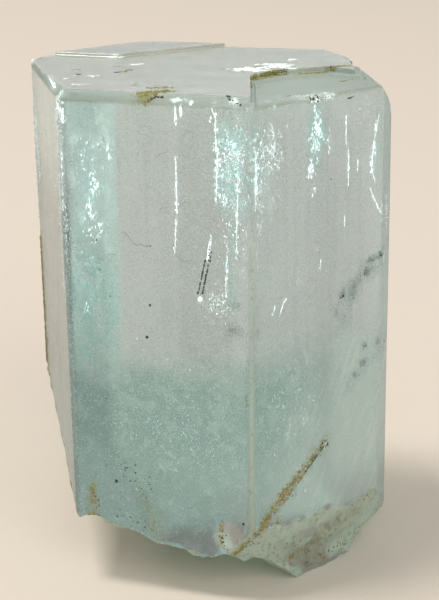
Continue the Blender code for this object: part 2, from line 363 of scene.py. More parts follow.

# Colours of the lesser zones of the skin. Some are painted light or shade: the shade, the lit upper
# left, the shaded right facet, the terrace's riser and, in part, the lowest milk.
SHADE, LOWEST_MILK_AND_SHADE, LIGHT_MOTTLE = (0.66, 0.69, 0.67), (0.46, 0.62, 0.60), (0.68, 0.82, 0.79)
PAINTED_LOWER_BAND, TEAL, SHADED_FACET = (0.56, 0.84, 0.80), (0.58, 0.88, 0.84), (0.48, 0.63, 0.65)
LIT_UPPER_LEFT, PLUME, DIM_SEAM = (0.88, 0.97, 0.97), (0.92, 0.98, 0.96), (0.44, 0.58, 0.55)
CLOUD_RIM, CLOUD_CORE, PINK = (0.40, 0.60, 0.60), (0.06, 0.11, 0.11), (1.0, 0.88, 0.74)
LIGHT_GRAIN, DARK_GRAIN = (0.97, 1.0, 0.99), (0.40, 0.44, 0.43)
SHELF, TOP, FRECKLE = (0.66, 0.71, 0.64), (0.86, 0.83, 0.73), (0.50, 0.50, 0.40)
RISER_SHADE, BROKEN, GRIME = (0.42, 0.45, 0.37), (0.84, 0.82, 0.65), (0.36, 0.32, 0.13)
STAIN_GREEN, STAIN_BROWN, WORN = (0.40, 0.40, 0.16), (0.45, 0.38, 0.13), (1.0, 1.0, 0.98)


def off_path(place, path):
    """The distance from a place to the nearest point of a path."""
    nearest = 1e9
    for start, end in zip(path, path[1:]):
        start, end = Vector(start), Vector(end)
        along = (place - start).dot(end - start) / (end - start).length_squared
        along = max(0.0, min(1.0, along))
        nearest = min(nearest, (place - start.lerp(end, along)).length)
    return nearest


def reached(place, rows):
    """How strongly some paths colour the skin at a place, from 0 to 1."""
    return max(
        power * max(0.0, 1.0 - off_path(place, path) / reach) for path, reach, power in rows
    )


class CrystalSettings(bpy.types.PropertyGroup):
    """Sizes and colours of the clear body."""

    cell: FloatProperty(
        name="Cell",
        description="Width of the cells that carry the relief, in millimetres",
        default=0.5,
        min=0.2,
    )
    wear: fraction("Edge wear", "How white the worn edges are", 0.35)
    transmission: fraction("Transmission", "Share of the light that passes", 0.67)
    ior: FloatProperty(
        name="IOR", description="Index of refraction of beryl", default=1.577, min=1.0
    )
    depth_colour: tint("Depth colour", "Colour that light takes on inside", (0.25, 0.76, 0.78))
    depth_density: FloatProperty(
        name="Depth density", description="Absorption per metre", default=24.0, min=0.0
    )
    milk: tint("Milk", "Colour of the cloudy skin in the upper half", (0.88, 0.89, 0.87))
    # The lower milk is in part the body's own bluer colour and in part painted shade, standing in
    # for the shadowed floor and broken foot seen through the lower half.
    milk_and_shade_low: tint("Lower milk", "Colour of the cloudy skin in the lower half", (0.40, 0.57, 0.55))
    # The left face is painted as shaded skin below and as lit skin above.
    shaded_left_face: tint("Left face", "Colour of the shaded skin of the left face", (0.18, 0.23, 0.24))
    right_wall: tint("Right wall", "Colour of the skin of the right wall", (0.85, 0.89, 0.90))
    # The blue band is painted light: the cyan of light refracted through the left face, laid on the
    # skin.
    band: tint("Blue band", "Colour of the upright band at the left", (0.82, 1.0, 0.97))
    pale_foot: tint("Pale foot", "Colour of the skin low on the right", (0.78, 0.86, 0.83))


def rim_clouds(f):
    """The slow cloud that bends the lower rim of the milky part."""
    return f.noise(6.0, 3.0, 0.6, 0.4)


def reach_along(direction, first, second):
    """How far a place with two coordinates lies along a direction in their plane."""
    return first * direction[0] + second * direction[1]


def wall_zones(f, settings, clouds, mottle):
    """The broad zones of the walls, as the skin's colour, and how far the lower zone reaches; some
    zones are painted light or shade.
    """
    x, y, z = f.axis("X"), f.axis("Y"), f.axis("Z")
    right = x.ramp(3.0, 9.0)
    wavy = z + (clouds - 0.5) * 7.0 + (mottle - 0.5) * 3.0
    low = wavy.ramp(22.8 + right * 1.2, 18.2 - right * 2.4)
    foot = reach_along(ACROSS, x - 10.0, z - 12.5) + (clouds - 0.5) * 4.0
    foot = foot.ramp(-8.0, 0.8)
    front = y.ramp(*FRONT_Y)
    # Painted light: a cyan band on the skin where light refracted through the left face shows.
    band = x.ramp(*PAINTED_BAND_X) * front * (1.0 - low)
    columns = f.noise(0.9, 2.0, 0.6, stretch=COLUMNS).ramp(0.45, 0.65)
    shade = (abs(x + 0.3).ramp(2.7, 1.7) * front * 0.7).most(columns * 0.35)
    teal = 0.0
    for centre, stretch, radii, power in TEAL_SPOTS:
        teal = (f.off(centre, stretch).ramp(*radii) * power).most(teal)
    # Painted light and shade on the left face: lighter at the top, darker lower down.
    left = reach_along((0.97, 0.24), x, y).ramp(-13.2, -13.8)
    sweep = {"X": reach_along(ACROSS, x, z) * 1.5, "Z": reach_along(ALONG, x, z) * 0.16}
    plumes = f.noise_at(f.node("ShaderNodeCombineXYZ", None, sweep), 3.0, 0.65).ramp(0.50, 0.66)
    by_seam = f.off((*SEAM, 0.0), PLAN).ramp(0.50, 0.22)
    milk = f.mix(x.ramp(*RIGHT_WALL_X), settings.milk, settings.right_wall)
    milk = f.layered(milk, (
        (shade, SHADE),
        # In part painted shade: the lower zone darkens towards the bottom, standing in for the
        # shadowed floor seen through it.
        (low, f.mix(z.ramp(15.0, 11.0), settings.milk_and_shade_low, LOWEST_MILK_AND_SHADE)),
        (mottle.ramp(0.48, 0.66) * low * 0.5, LIGHT_MOTTLE),
        (
            band * mottle.ramp(0.66, 0.40, 0.6, 1.0),
            f.mix(z.ramp(34.0, 27.0), settings.band, PAINTED_LOWER_BAND),
        ),
        (teal * mottle.ramp(0.34, 0.56) * 0.9, TEAL),
        # Painted shade: the narrow right facet is darker, most of all high up.
        (x.ramp(*FACET_X) * z.ramp(20.0, 37.0, 0.2, 1.0), SHADED_FACET),
        (left * z.ramp(31.0, 39.0), LIT_UPPER_LEFT),
        (left * z.ramp(39.0, 31.0), settings.shaded_left_face),
        (foot * low * 0.8, settings.pale_foot),
        (plumes * foot * z.ramp(27.5, 22.0) * 0.6, PLUME),
        (by_seam * z.ramp(32.0, 20.0, 0.1, 0.55), DIM_SEAM),
    ))
    return milk, low


def beryl(settings):
    """Clear, faintly blue-green beryl under a cloudy, finely etched skin."""
    f = Finish("clear beryl")
    x, z = f.axis("X"), f.axis("Z")
    grain, fine = f.noise(0.15, 2.0, 0.8), f.noise(0.35, 3.0, 0.7)
    mottle = f.noise(1.3, 3.0, 0.7, 0.3)
    milk, low = wall_zones(f, settings, rim_clouds(f), mottle)
    dots = f.cells(0.28).ramp(0.36, 0.18) * mottle.ramp(0.36, 0.56)
    light_grain = grain.ramp(0.42, 0.70) * (0.62 - low * 0.40)
    smoke = f.painted("smoke") * 1.5 + (f.noise(1.2, 4.0, 0.75, 1.2) - 0.5) * 2.6
    pink = (f.off(PINK_SPOT) + mottle * 1.6).ramp(2.3, 1.7)
    freckled = grain.ramp(0.54, 0.34).most(mottle.ramp(0.52, 0.38) * 0.7)
    ledge = z.ramp(*TERRACE_FOOT_Z) * z.ramp(*TERRACE_HEAD_Z)
    rim = z.ramp(*RIM_FOOT_Z) * z.ramp(*RIM_HEAD_Z)
    broken, stain = f.painted("broken"), f.painted("stain")
    grime = fine.ramp(0.50, 0.62) * mottle.ramp(0.38, 0.58)
    worn = f.painted("edge") ** 4.0 * fine.ramp(0.46, 0.64) * z.ramp(42.2, 42.8, 1.0, 0.3)
    worn = worn * x.ramp(14.0, 14.6, 1.0, 0.35)
    milk = f.layered(milk, (
        (smoke.ramp(0.0, 0.9) * 0.6, CLOUD_RIM),
        (smoke.ramp(0.75, 1.4) * 0.9, CLOUD_CORE),
        (pink * 0.7, PINK),
        (light_grain.most(dots * (1.0 - low * 0.45)), LIGHT_GRAIN),
        (grain.ramp(0.46, 0.26) * (0.62 - low * 0.37), DARK_GRAIN),
        (z.ramp(*SHELF_Z), SHELF),
        (z.ramp(*TOP_Z), TOP),
        (z.ramp(*SHELF_Z) * freckled * x.ramp(-10.0, 0.0, 0.18, 0.40), FRECKLE),
        # Painted shade: a darker line along the riser of the terrace.
        (ledge * 0.6, RISER_SHADE),
        (broken * 0.85, BROKEN),
        (broken * grime * 0.75, GRIME),
        (
            (stain * (0.25 + fine.ramp(0.40, 0.60) * 1.1)).least(0.92),
            f.mix(mottle.ramp(0.45, 0.6), STAIN_GREEN, STAIN_BROWN),
        ),
        (worn * settings.wear, WORN),
    ))
    striae = f.noise(0.5, 2.0, 0.6, stretch=STRIAE)
    seam = f.off((*SEAM, 0.0), PLAN).ramp(0.6, 0.3)
    spoilt = (broken * 0.30).most(seam * 0.30).most(worn * 0.3).most((rim + ledge) * 0.6)
    f.set(
        Base_Color=milk,
        Roughness=0.13 + mottle.ramp(0.4, 0.75) * 0.10 + spoilt,
        IOR=settings.ior,
        Transmission_Weight=settings.transmission,
        Normal=f.bump(striae * 0.5 + grain * 0.6, 0.024),
    )
    f.absorb(settings.depth_colour, settings.depth_density)
    return f


class CRYSTAL_OT_body(bpy.types.Operator):
    """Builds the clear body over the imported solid, with worn edges and fine relief"""

    bl_idname = "crystal.body"
    bl_label = "Crystal Body"

    def execute(self, context):
        settings = context.scene.crystal_body
        bm = cad_solid()
        broken = bm.verts.layers.float.new("broken")
        for face in bm.faces:
            wall = face.calc_area() > FOOT_FACE or face.calc_center_median().z > FOOT_TOP
            face.material_index = 0 if wall else 1
        self.cut_into_cells(bm, settings.cell)
        for vert in bm.verts:
            near = vert.link_faces
            vert[broken] = sum(f.material_index for f in near) / max(1, len(near))
        by_seam = [v for v in bm.verts if (v.co.xy - SEAM).length < 0.5 and 7.0 < v.co.z < 42.5]
        for _ in range(8):
            bmesh.ops.smooth_vert(
                bm, verts=by_seam, factor=0.5, use_axis_x=True, use_axis_y=True, use_axis_z=False
            )
        bm.normal_update()
        new_layer = bm.verts.layers.float.new
        edge, stain, smoke = (new_layer(name) for name in ("edge", "stain", "smoke"))
        for ridge in bm.edges:
            if ridge.is_manifold and ridge.calc_face_angle_signed() > math.radians(WORN_ANGLE):
                for vert in ridge.verts:
                    off_seam = min(1.0, (vert.co.xy - SEAM).length * 0.5)
                    vert[edge] = (1.0 - vert[broken]) * off_seam
        for vert in bm.verts:
            vert.co += self.relief(vert.co, vert[broken])
            vert[stain], vert[smoke] = reached(vert.co, STAINS), reached(vert.co, CLOUDS)
        for face in bm.faces:
            face.material_index = 0
        piece = new_piece("clear_body", bm, beryl(settings), smooth_angle=24.0)
        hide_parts(NODE)
        return {"FINISHED"}

    @staticmethod
    def cut_into_cells(bm, cell):
        """Cuts the faces along planes a cell apart, so that they can carry the relief."""
        low, high = (Vector(c) for c in CAD_BOX)
        for axis in range(3):
            normal = Vector((0.0, 0.0, 0.0))
            normal[axis] = 1.0
            span = (high[axis] - low[axis]) / MM
            count = int(span / cell)
            for i in range(1, count):
                bmesh.ops.bisect_plane(
                    bm,
                    geom=bm.verts[:] + bm.edges[:] + bm.faces[:],
                    dist=0.002,
                    plane_co=normal * (low[axis] / MM + span * i / count),
                    plane_no=normal,
                )
        bmesh.ops.triangulate(bm, faces=[f for f in bm.faces if len(f.verts) > 4])

    @staticmethod
    def relief(place, broken):
        """How far the surface stands from a perfect one at a place, in millimetres."""
        spot = Vector([c * closeness for c, closeness in zip(place, WALL_WAVES)])
        shift = noise.noise_vector(spot) * WALL_SWELL
        if broken > 0.0:
            coarse = noise.noise_vector(place * COARSE_RIPPLES + Vector((7.0, 0.0, 0.0)))
            fine = noise.noise_vector(place * FINE_RIPPLES)
            shift += (coarse * COARSE_SWELL + fine * FINE_SWELL) * broken
        if place.z < CALM_BELOW:
            shift.z = max(0.0, shift.z) * place.z / CALM_BELOW
        return shift


# What lies inside


def skin():
    """The finished outer surface, for laying things on it, in millimetres."""
    mesh = bpy.data.objects["clear_body"].data
    corners = [v.co / MM for v in mesh.vertices]
    return BVHTree.FromPolygons(corners, [p.vertices[:] for p in mesh.polygons])


def inside(surface, place):
    """Whether the first face straight above a place looks up, away from it."""
    normal = surface.ray_cast(place, UP)[1]
    return normal is not None and normal.z > 0.0


def under_skin(surface, place, depth):
    """The place, or the nearest one that lies at least depth millimetres under the skin."""
    foot, normal, _, _ = surface.find_nearest(place)
    deep = (foot - place).dot(normal) >= depth and inside(surface, place)
    return place if deep else foot - normal * depth


def aimed(direction, turn=0.0):
    """A rotation that lays the Z axis along a direction, turned about it."""
    leaning = Vector(direction).to_track_quat("Z", "Y").to_matrix().to_4x4()
    return leaning @ Matrix.Rotation(turn, 4, "Z")


def spread(rng, centre, half, share):
    """A random place round a centre; the share says how much of the half sizes is usual."""
    shifts = (h * max(-1.6, min(1.6, rng.gauss(0, share))) for h in half)
    return Vector([c + s for c, s in zip(centre, shifts)])


def flake(bm, place, width, thickness, length, direction=UP, turn=0.0):
    """A thin lens-shaped flake; its length lies along the direction."""
    sizes = Matrix.Diagonal((width / 2, thickness / 2, length / 2, 1.0))
    matrix = Matrix.Translation(place) @ aimed(direction, turn) @ sizes
    bmesh.ops.create_icosphere(bm, subdivisions=1, radius=1.0, matrix=matrix)


def spindle(bm, start, end, width):
    """A needle that tapers to both ends."""
    start, end = Vector(start), Vector(end)
    sizes = Matrix.Diagonal((width / 2, width / 2, (end - start).length / 2, 1.0))
    matrix = Matrix.Translation((start + end) / 2) @ aimed(end - start) @ sizes
    bmesh.ops.create_uvsphere(bm, u_segments=6, v_segments=8, radius=1.0, matrix=matrix)


def veil(bm, centre, normal, width, height, step, swell, seed, soft=0.0):
    """A thin, gently waved sheet that stands upright; its broad side faces along the normal.

    The points carry a share that falls to zero over a soft part of its half sizes, in a round way
    where that part is large.
    """
    share = bm.verts.layers.float.get("share") or bm.verts.layers.float.new("share")
    columns, rows = (max(2, int(length / step)) for length in (width, height))
    made = bmesh.ops.create_grid(bm, x_segments=columns, y_segments=rows, size=0.5)["verts"]
    for vert in made:
        across = vert.co.length if soft > 0.8 else max(abs(vert.co.x), abs(vert.co.y))
        rim = max(0.0, 1.0 - 2.0 * across)
        vert[share] = min(1.0, rim / soft) if soft else 1.0
    faces = list({f for v in made for f in v.link_faces})
    out = Vector(normal).normalized()
    side = UP.cross(out).normalized() if abs(out.z) < 0.9 else Vector((1.0, 0.0, 0.0))
    over = out.cross(side)
    for vert in made:
        place = Vector(centre) + side * vert.co.x * width + over * vert.co.y * height
        vert.co = place + out * swell * noise.noise(place * 0.16 + Vector((seed, 0.0, 0.0)))
    bmesh.ops.solidify(bm, geom=faces, thickness=VEIL_THICKNESS)


VEIL_THICKNESS = 0.02

# The way the two front walls face.
LEFT_WALL = Vector((-0.28, -0.96, 0.0))
RIGHT_WALL = Vector((0.69, -0.72, 0.0))

# Upright streaks: lowest point, highest point, width.
STREAKS = (
    ((-2.54, -12.76, 33.59), (-2.59, -12.77, 38.26), 0.125),
    ((-2.65, -12.76, 41.04), (-2.60, -12.76, 42.35), 0.109),
    ((-2.73, -12.69, 30.21), (-2.6, -12.74, 33.19), 0.062),
    ((0.56, -13.65, 34.42), (0.67, -13.71, 39.35), 0.094),
    ((0.51, -13.66, 38.97), (0.55, -13.66, 42.2), 0.078),
    ((1.32, -13.84, 27.0), (1.47, -13.9, 31.43), 0.055),
    ((2.16, -14.1, 30.38), (2.28, -14.16, 37.3), 0.062),
    ((3.59, -14.27, 35.86), (3.6, -14.23, 38.04), 0.078),
    ((3.54, -14.34, 34.28), (3.52, -14.29, 39.42), 0.07),
    ((11.08, -7.02, 38.06), (11.04, -7.01, 40.55), 0.078),
    ((11.38, -6.77, 34.48), (11.32, -6.79, 37.66), 0.117),
    ((11.09, -7.1, 31.1), (11.14, -7.04, 32.29), 0.094),
    ((12.18, -5.99, 35.57), (12.16, -5.99, 36.67), 0.07),
    ((13.43, -4.78, 35.07), (13.67, -4.5, 38.46), 0.133),
    ((13.73, -4.46, 38.26), (13.99, -4.18, 39.96), 0.086),
    ((13.83, -4.42, 34.27), (13.49, -4.73, 35.47), 0.086),
    ((14.47, -3.7, 31.36), (13.34, -4.89, 33.88), 0.101),
    ((8.99, -9.17, 28.02), (9.08, -9.07, 28.91), 0.086),
    ((5.56, -12.53, 24.95), (5.97, -12.11, 26.33), 0.07),
    ((4.98, -13.08, 25.26), (5.21, -12.84, 26.14), 0.055),
    ((-2.15, -13.05, 41.4), (-2.2, -13.03, 42.4), 0.26),
    ((-3.0, -12.72, 42.72), (-2.0, -12.86, 42.76), 0.22),
    ((-0.15, -13.43, 29.89), (0.19, -13.54, 32.17), 0.24),
    ((-0.83, -13.22, 26.57), (-0.6, -13.29, 26.98), 0.44),
    ((-15.62, 4.95, 34.0), (-15.55, 4.95, 38.0), 0.12),
    ((-12.15, -9.4, 42.55), (-11.75, -10.1, 41.2), 0.16),
    ((-13.4, -3.5, 43.05), (-12.4, -8.4, 42.95), 0.12),
)

# Dark grit that lines a tube: lowest point, highest point, width, number of grains.
GRIT = (
    ((-0.72, -13.40, 27.2), (-0.12, -13.58, 30.1), 0.42, 120),
    ((0.08, -13.44, 29.98), (0.2, -13.48, 31.37), 0.2, 12),
)

GRIT_DARK, GRIT_LIGHT = (0.02, 0.035, 0.035), (0.08, 0.09, 0.06)

# Nests of bright flakes: centre, half sizes, number, largest flake.
NESTS = (
    ((-9.59, -10.66, 33.35), (0.35, 0.25, 1.1), 26, 0.5),
    ((-8.8, -10.88, 31.77), (0.3, 0.25, 0.9), 16, 0.42),
    ((-9.2, -10.78, 35.86), (0.5, 0.3, 1.2), 26, 0.36),
    ((-8.02, -11.13, 38.27), (0.3, 0.25, 0.7), 12, 0.34),
    ((-9.78, -10.63, 38.21), (0.8, 0.3, 2.6), 60, 0.2),
    ((-9.69, -10.62, 30.28), (0.7, 0.3, 5.0), 90, 0.18),
    ((-9.99, -10.51, 25.02), (0.25, 0.2, 0.5), 10, 0.3),
    ((1.13, -13.77, 39.22), (0.7, 0.3, 1.8), 68, 0.22),
    ((2.03, -14.03, 39.91), (0.8, 0.3, 1.6), 55, 0.19),
    ((1.16, -13.76, 35.33), (0.4, 0.3, 0.7), 16, 0.33),
    ((2.38, -14.11, 36.48), (0.6, 0.3, 2.6), 55, 0.17),
    ((3.96, -13.77, 38.81), (0.6, 0.3, 2.0), 37, 0.16),
    ((1.33, -13.79, 31.41), (0.8, 0.3, 3.4), 55, 0.12),
    ((0.55, -13.54, 26.27), (0.9, 0.3, 0.9), 50, 0.17),
    ((8.68, -9.2, 40.07), (0.35, 0.3, 1.0), 34, 0.39),
    ((8.47, -9.43, 38.18), (0.7, 0.3, 1.5), 51, 0.27),
    ((8.04, -9.88, 36.3), (0.3, 0.25, 0.55), 18, 0.39),
    ((9.57, -8.37, 38.48), (0.25, 0.2, 1.1), 20, 0.22),
    ((8.3, -9.64, 34.83), (0.3, 0.3, 0.5), 13, 0.26),
    ((13.61, -4.5, 36.66), (0.25, 0.25, 2.0), 34, 0.24),
    ((14.48, -3.51, 31.46), (0.3, 0.3, 1.0), 17, 0.2),
    ((7.09, -10.83, 33.28), (3.4, 0.3, 6.5), 136, 0.09),
    ((-3.52, -12.4, 32.23), (3.2, 0.3, 8.5), 150, 0.1),
    ((-3.12, -12.44, 14.32), (6.5, 0.3, 6.5), 330, 0.13),
    ((6.57, -11.57, 16.46), (3.2, 0.3, 5.5), 190, 0.13),
    ((-2.5, -12.75, 42.72), (0.5, 0.07, 0.06), 24, 0.32),
    ((-1.35, -13.1, 42.62), (0.22, 0.1, 0.08), 12, 0.3),
    ((-2.58, -13.0, 41.3), (0.12, 0.08, 0.6), 16, 0.34),
    ((2.0, -13.6, 42.75), (0.6, 0.3, 0.15), 30, 0.36),
    ((8.1, -9.5, 42.2), (0.5, 0.3, 0.25), 40, 0.4),
    ((6.7, -9.4, 42.35), (0.9, 0.3, 0.08), 24, 0.22),
    ((9.3, -8.2, 42.2), (0.6, 0.3, 0.2), 30, 0.24),
    ((4.34, -11.31, 42.19), (0.4, 0.3, 0.25), 14, 0.34),
    ((-11.8, -9.6, 42.6), (0.25, 0.25, 0.5), 24, 0.34),
    ((-11.6, -10.15, 41.2), (0.15, 0.12, 0.6), 26, 0.4),
    ((-12.9, -5.5, 43.0), (0.2, 2.2, 0.1), 26, 0.22),
    ((0.38, -13.56, 41.88), (0.4, 0.2, 0.8), 18, 0.24),
    ((0.69, -13.63, 37.67), (0.18, 0.15, 1.9), 34, 0.32),
    ((2.13, -14.05, 38.39), (0.6, 0.2, 1.5), 43, 0.26),
    ((3.6, -14.12, 38.65), (0.35, 0.2, 2.2), 43, 0.23),
    ((4.51, -13.25, 38.35), (0.4, 0.25, 1.0), 21, 0.24),
    ((3.42, -14.38, 35.69), (0.3, 0.2, 1.1), 22, 0.22),
    ((1.2, -13.77, 35.07), (0.28, 0.2, 0.4), 11, 0.4),
    ((1.95, -13.98, 33.68), (0.4, 0.2, 1.4), 24, 0.17),
    ((8.43, -9.44, 40.66), (0.35, 0.25, 0.9), 34, 0.37),
    ((8.11, -9.77, 38.95), (0.4, 0.25, 0.9), 34, 0.31),
    ((8.04, -9.87, 36.57), (0.25, 0.2, 0.4), 11, 0.51),
    ((9.52, -8.41, 38.56), (0.2, 0.15, 0.9), 18, 0.24),
    ((11.17, -6.83, 37.46), (0.2, 0.15, 2.2), 34, 0.2),
    ((13.7, -4.37, 38.85), (0.16, 0.15, 1.3), 22, 0.31),
    ((13.41, -4.7, 36.06), (0.22, 0.15, 0.9), 25, 0.34),
    ((14.88, -2.6, 31.26), (0.14, 0.2, 0.7), 20, 0.29),
    ((-11.75, -9.9, 36.5), (0.1, 0.12, 3.6), 90, 0.26),
    ((-11.6, -10.0, 30.0), (0.1, 0.12, 3.2), 60, 0.2),
    ((-13.2, -4.8, 39.6), (0.15, 0.3, 2.2), 40, 0.2),
    ((-15.5, 4.6, 37.5), (0.08, 0.3, 2.6), 40, 0.22),
    ((0.85, -13.64, 27.38), (1.2, 0.3, 0.9), 44, 0.16),
    ((2.6, -14.1, 30.5), (0.8, 0.3, 4.0), 100, 0.15),
    ((1.4, -13.8, 33.0), (0.6, 0.3, 2.5), 70, 0.16),
    ((4.6, -13.2, 36.5), (1.2, 0.3, 3.0), 80, 0.15),
    ((7.4, -9.8, 42.45), (1.6, 1.2, 0.06), 70, 0.2),
    ((9.4, -8.2, 42.4), (0.9, 0.8, 0.08), 40, 0.2),
    ((12.9, -5.2, 40.5), (1.2, 0.3, 1.2), 60, 0.15),
    ((-11.5, -10.0, 32.0), (0.5, 0.3, 2.0), 90, 0.16),
    ((-12.6, -6.8, 34.0), (0.4, 1.6, 3.4), 70, 0.18),
    ((-15.4, 4.2, 36.0), (0.1, 0.8, 3.4), 60, 0.24),
)

# Flat bright chips in the top: centre, half sizes, number, largest chip.
CHIPS = (
    ((3.4, -0.6, 43.18), (1.2, 0.9, 0.01), 40, 0.9),
    ((5.6, 1.6, 43.18), (1.1, 1.1, 0.01), 44, 0.9),
    ((7.4, 4.9, 43.18), (0.5, 0.6, 0.01), 10, 0.6),
    ((2.3, -1.2, 43.18), (0.3, 0.4, 0.01), 6, 0.4),
    ((-10.5, -8.0, 43.18), (0.7, 0.25, 0.01), 10, 0.4),
    ((-11.7, -5.3, 43.18), (0.25, 0.3, 0.01), 6, 0.3),
    ((-9.7, -4.0, 43.18), (0.35, 0.35, 0.01), 8, 0.36),
    ((-8.6, 6.4, 43.18), (0.7, 0.5, 0.01), 10, 0.5),
    ((-6.5, 2.0, 43.18), (0.5, 0.5, 0.01), 8, 0.5),
)

# Fine bright hairlines just under the skin: centre, half sizes, number, longest.
HAIRS = (
    ((5.0, -13.2, 38.9), (1.6, 0.1, 1.6), 70, 1.0),
    ((1.8, -14.1, 38.0), (1.3, 0.1, 2.8), 100, 0.8),
    ((3.9, -14.2, 36.0), (0.8, 0.1, 4.0), 60, 0.8),
    ((8.5, -9.6, 39.0), (1.0, 0.1, 1.6), 50, 0.6),
    ((-9.4, -10.9, 34.0), (1.6, 0.1, 6.0), 70, 0.4),
    ((0.6, -13.8, 26.4), (1.2, 0.1, 1.2), 50, 0.5),
    ((7.2, -10.9, 26.0), (3.4, 0.1, 6.0), 50, 0.5),
    ((-2.0, -13.1, 14.5), (6.0, 0.1, 6.0), 160, 0.5),
    ((7.0, -11.4, 16.0), (3.4, 0.1, 5.0), 110, 0.5),
)

# Milky sheets: centre, facing, width, height, seed.
VEILS = (
    ((-1.9, -11.8, 31.6), LEFT_WALL, 10.6, 21.5, 3.0),
    ((8.8, -7.8, 31.6), RIGHT_WALL, 13.6, 21.5, 17.0),
    ((-1.5, -8.2, 30.0), LEFT_WALL, 11.0, 22.0, 5.0),
    ((8.2, -4.6, 29.0), RIGHT_WALL, 12.0, 23.0, 23.0),
    ((1.0, -2.0, 24.0), Vector((0.2, -1.0, 0.1)), 20.0, 30.0, 31.0),
)

# Sea-green blooms: centre, facing, width, height, seed, soft share of the rim.
BLOOMS = (
    ((-9.25, -10.75, 31.0), LEFT_WALL, 4.6, 23.0, 40.0, 0.04),
    ((-9.25, -10.7, 36.5), LEFT_WALL, 4.4, 12.0, 43.0, 0.5),
    ((1.75, -13.5, 37.6), LEFT_WALL, 3.6, 10.0, 41.0, 0.6),
    ((4.4, -13.1, 36.0), RIGHT_WALL, 2.6, 13.0, 47.0, 1.0),
    ((8.5, -9.1, 39.4), RIGHT_WALL, 2.6, 6.6, 42.0, 0.9),
    ((13.6, -4.2, 37.0), RIGHT_WALL, 1.2, 7.4, 44.0, 0.9),
    ((11.2, -6.6, 36.6), RIGHT_WALL, 1.1, 5.4, 46.0, 0.9),
)


class InclusionSettings(bpy.types.PropertyGroup):
    """Amounts and colours of what lies inside."""

    seed: IntProperty(name="Seed", description="Seed of every random draw", default=11)
    haze: fraction("Haze", "Thickest share of milk in a veil", 0.22)
    haze_colour: tint("Haze colour", "Colour of the milky veils", (0.87, 0.88, 0.87))
    bloom: fraction("Bloom", "Thickest share of cloud in a bloom", 0.12)
    bloom_colour: tint("Bloom colour", "Colour of the clouds round the nests", (0.60, 0.92, 0.89))
    smudge_colour: tint("Smudge colour", "Colour of the dark feathers", (0.10, 0.17, 0.17))


# How strongly the gaps glow, and how faintly the clouds inside do: a painted glow by emission that
# stands in for the light that beryl throws back inside.
GAP_PAINTED_GLOW, MILK_PAINTED_GLOW, BLOOM_PAINTED_GLOW, FEATHER_PAINTED_GLOW = 1.45, 0.08, 0.35, 0.5
# Colours of the gaps' glints, which also glow as painted light, and of the blooms' puffs and the
# feathers' painted sheen.
SEA_GLINT, WHITE_GLINT, DULL_GLINT = (0.62, 0.95, 0.98), (1.0, 1.0, 1.0), (0.25, 0.36, 0.36)
BLOOM_PUFF, FEATHER_SHEEN = (0.92, 1.0, 0.98), (0.05, 0.12, 0.12)


def bright_gap():
    """The mirror-like skin of an air-filled gap; its shine by total reflection is painted on as a
    glow by emission.
    """
    f = Finish("air-filled gap")
    wear = f.noise(0.12, 2.0, 0.6)
    glint = f.mix(wear.ramp(0.30, 0.56), SEA_GLINT, WHITE_GLINT)
    patchy = f.noise(0.25, 2.0, 0.6).ramp(0.38, 0.56)
    # The emission paints a patchy glow on the gap, as a painted highlight.
    f.set(
        Base_Color=glint,
        Metallic=1.0,
        Roughness=wear.ramp(0.3, 0.8, 0.18, 0.42),
        Emission_Color=f.mix(patchy, DULL_GLINT, glint),
        Emission_Strength=GAP_PAINTED_GLOW,
    )
    return f


def milk_film(settings):
    """A cloud of bubbles too small to see one by one."""
    f = Finish("milky veil")
    z = f.axis("Z")
    clouds = rim_clouds(f)
    floor = (z + (clouds - 0.5) * 7.0).ramp(18.8, 22.2)
    wisps = f.noise(1.3, 2.0, 0.6, 0.8, (1.0, 1.0, 0.35))
    share = clouds.ramp(0.25, 0.7, 0.55, 1.0) * wisps.ramp(0.2, 0.8, 0.75, 1.0) * floor
    # A faint emission paints light onto the haze, a painted glow.
    f.set(
        Base_Color=settings.haze_colour,
        Roughness=0.9,
        Specular_IOR_Level=0.0,
        Alpha=share * settings.haze,
        Emission_Color=settings.haze_colour,
        Emission_Strength=MILK_PAINTED_GLOW,
    )
    return f


def bloom_film(settings):
    """A bright sea-green cloud round a nest of gaps."""
    f = Finish("sea-green bloom")
    puffs = f.noise(1.1, 2.0, 0.55, 0.3, (1.0, 1.0, 0.6)).ramp(0.50, 0.70)
    wisps = f.noise(0.45, 2.0, 0.65, 0.4, (1.0, 1.0, 0.5)).ramp(0.2, 0.7, 0.6, 1.0)
    colour = f.mix(puffs * 0.8, settings.bloom_colour, BLOOM_PUFF)
    cloud = wisps * (settings.bloom + puffs * 0.16)
    share = f.painted("share").ramp(0.0, 1.0) * cloud * f.axis("Z").ramp(19.5, 27.0)
    # The emission paints part of the bloom's brightness, a painted glow.
    f.set(
        Base_Color=colour,
        Roughness=0.9,
        Specular_IOR_Level=0.0,
        Alpha=share,
        Emission_Color=colour,
        Emission_Strength=BLOOM_PAINTED_GLOW,
    )
    return f


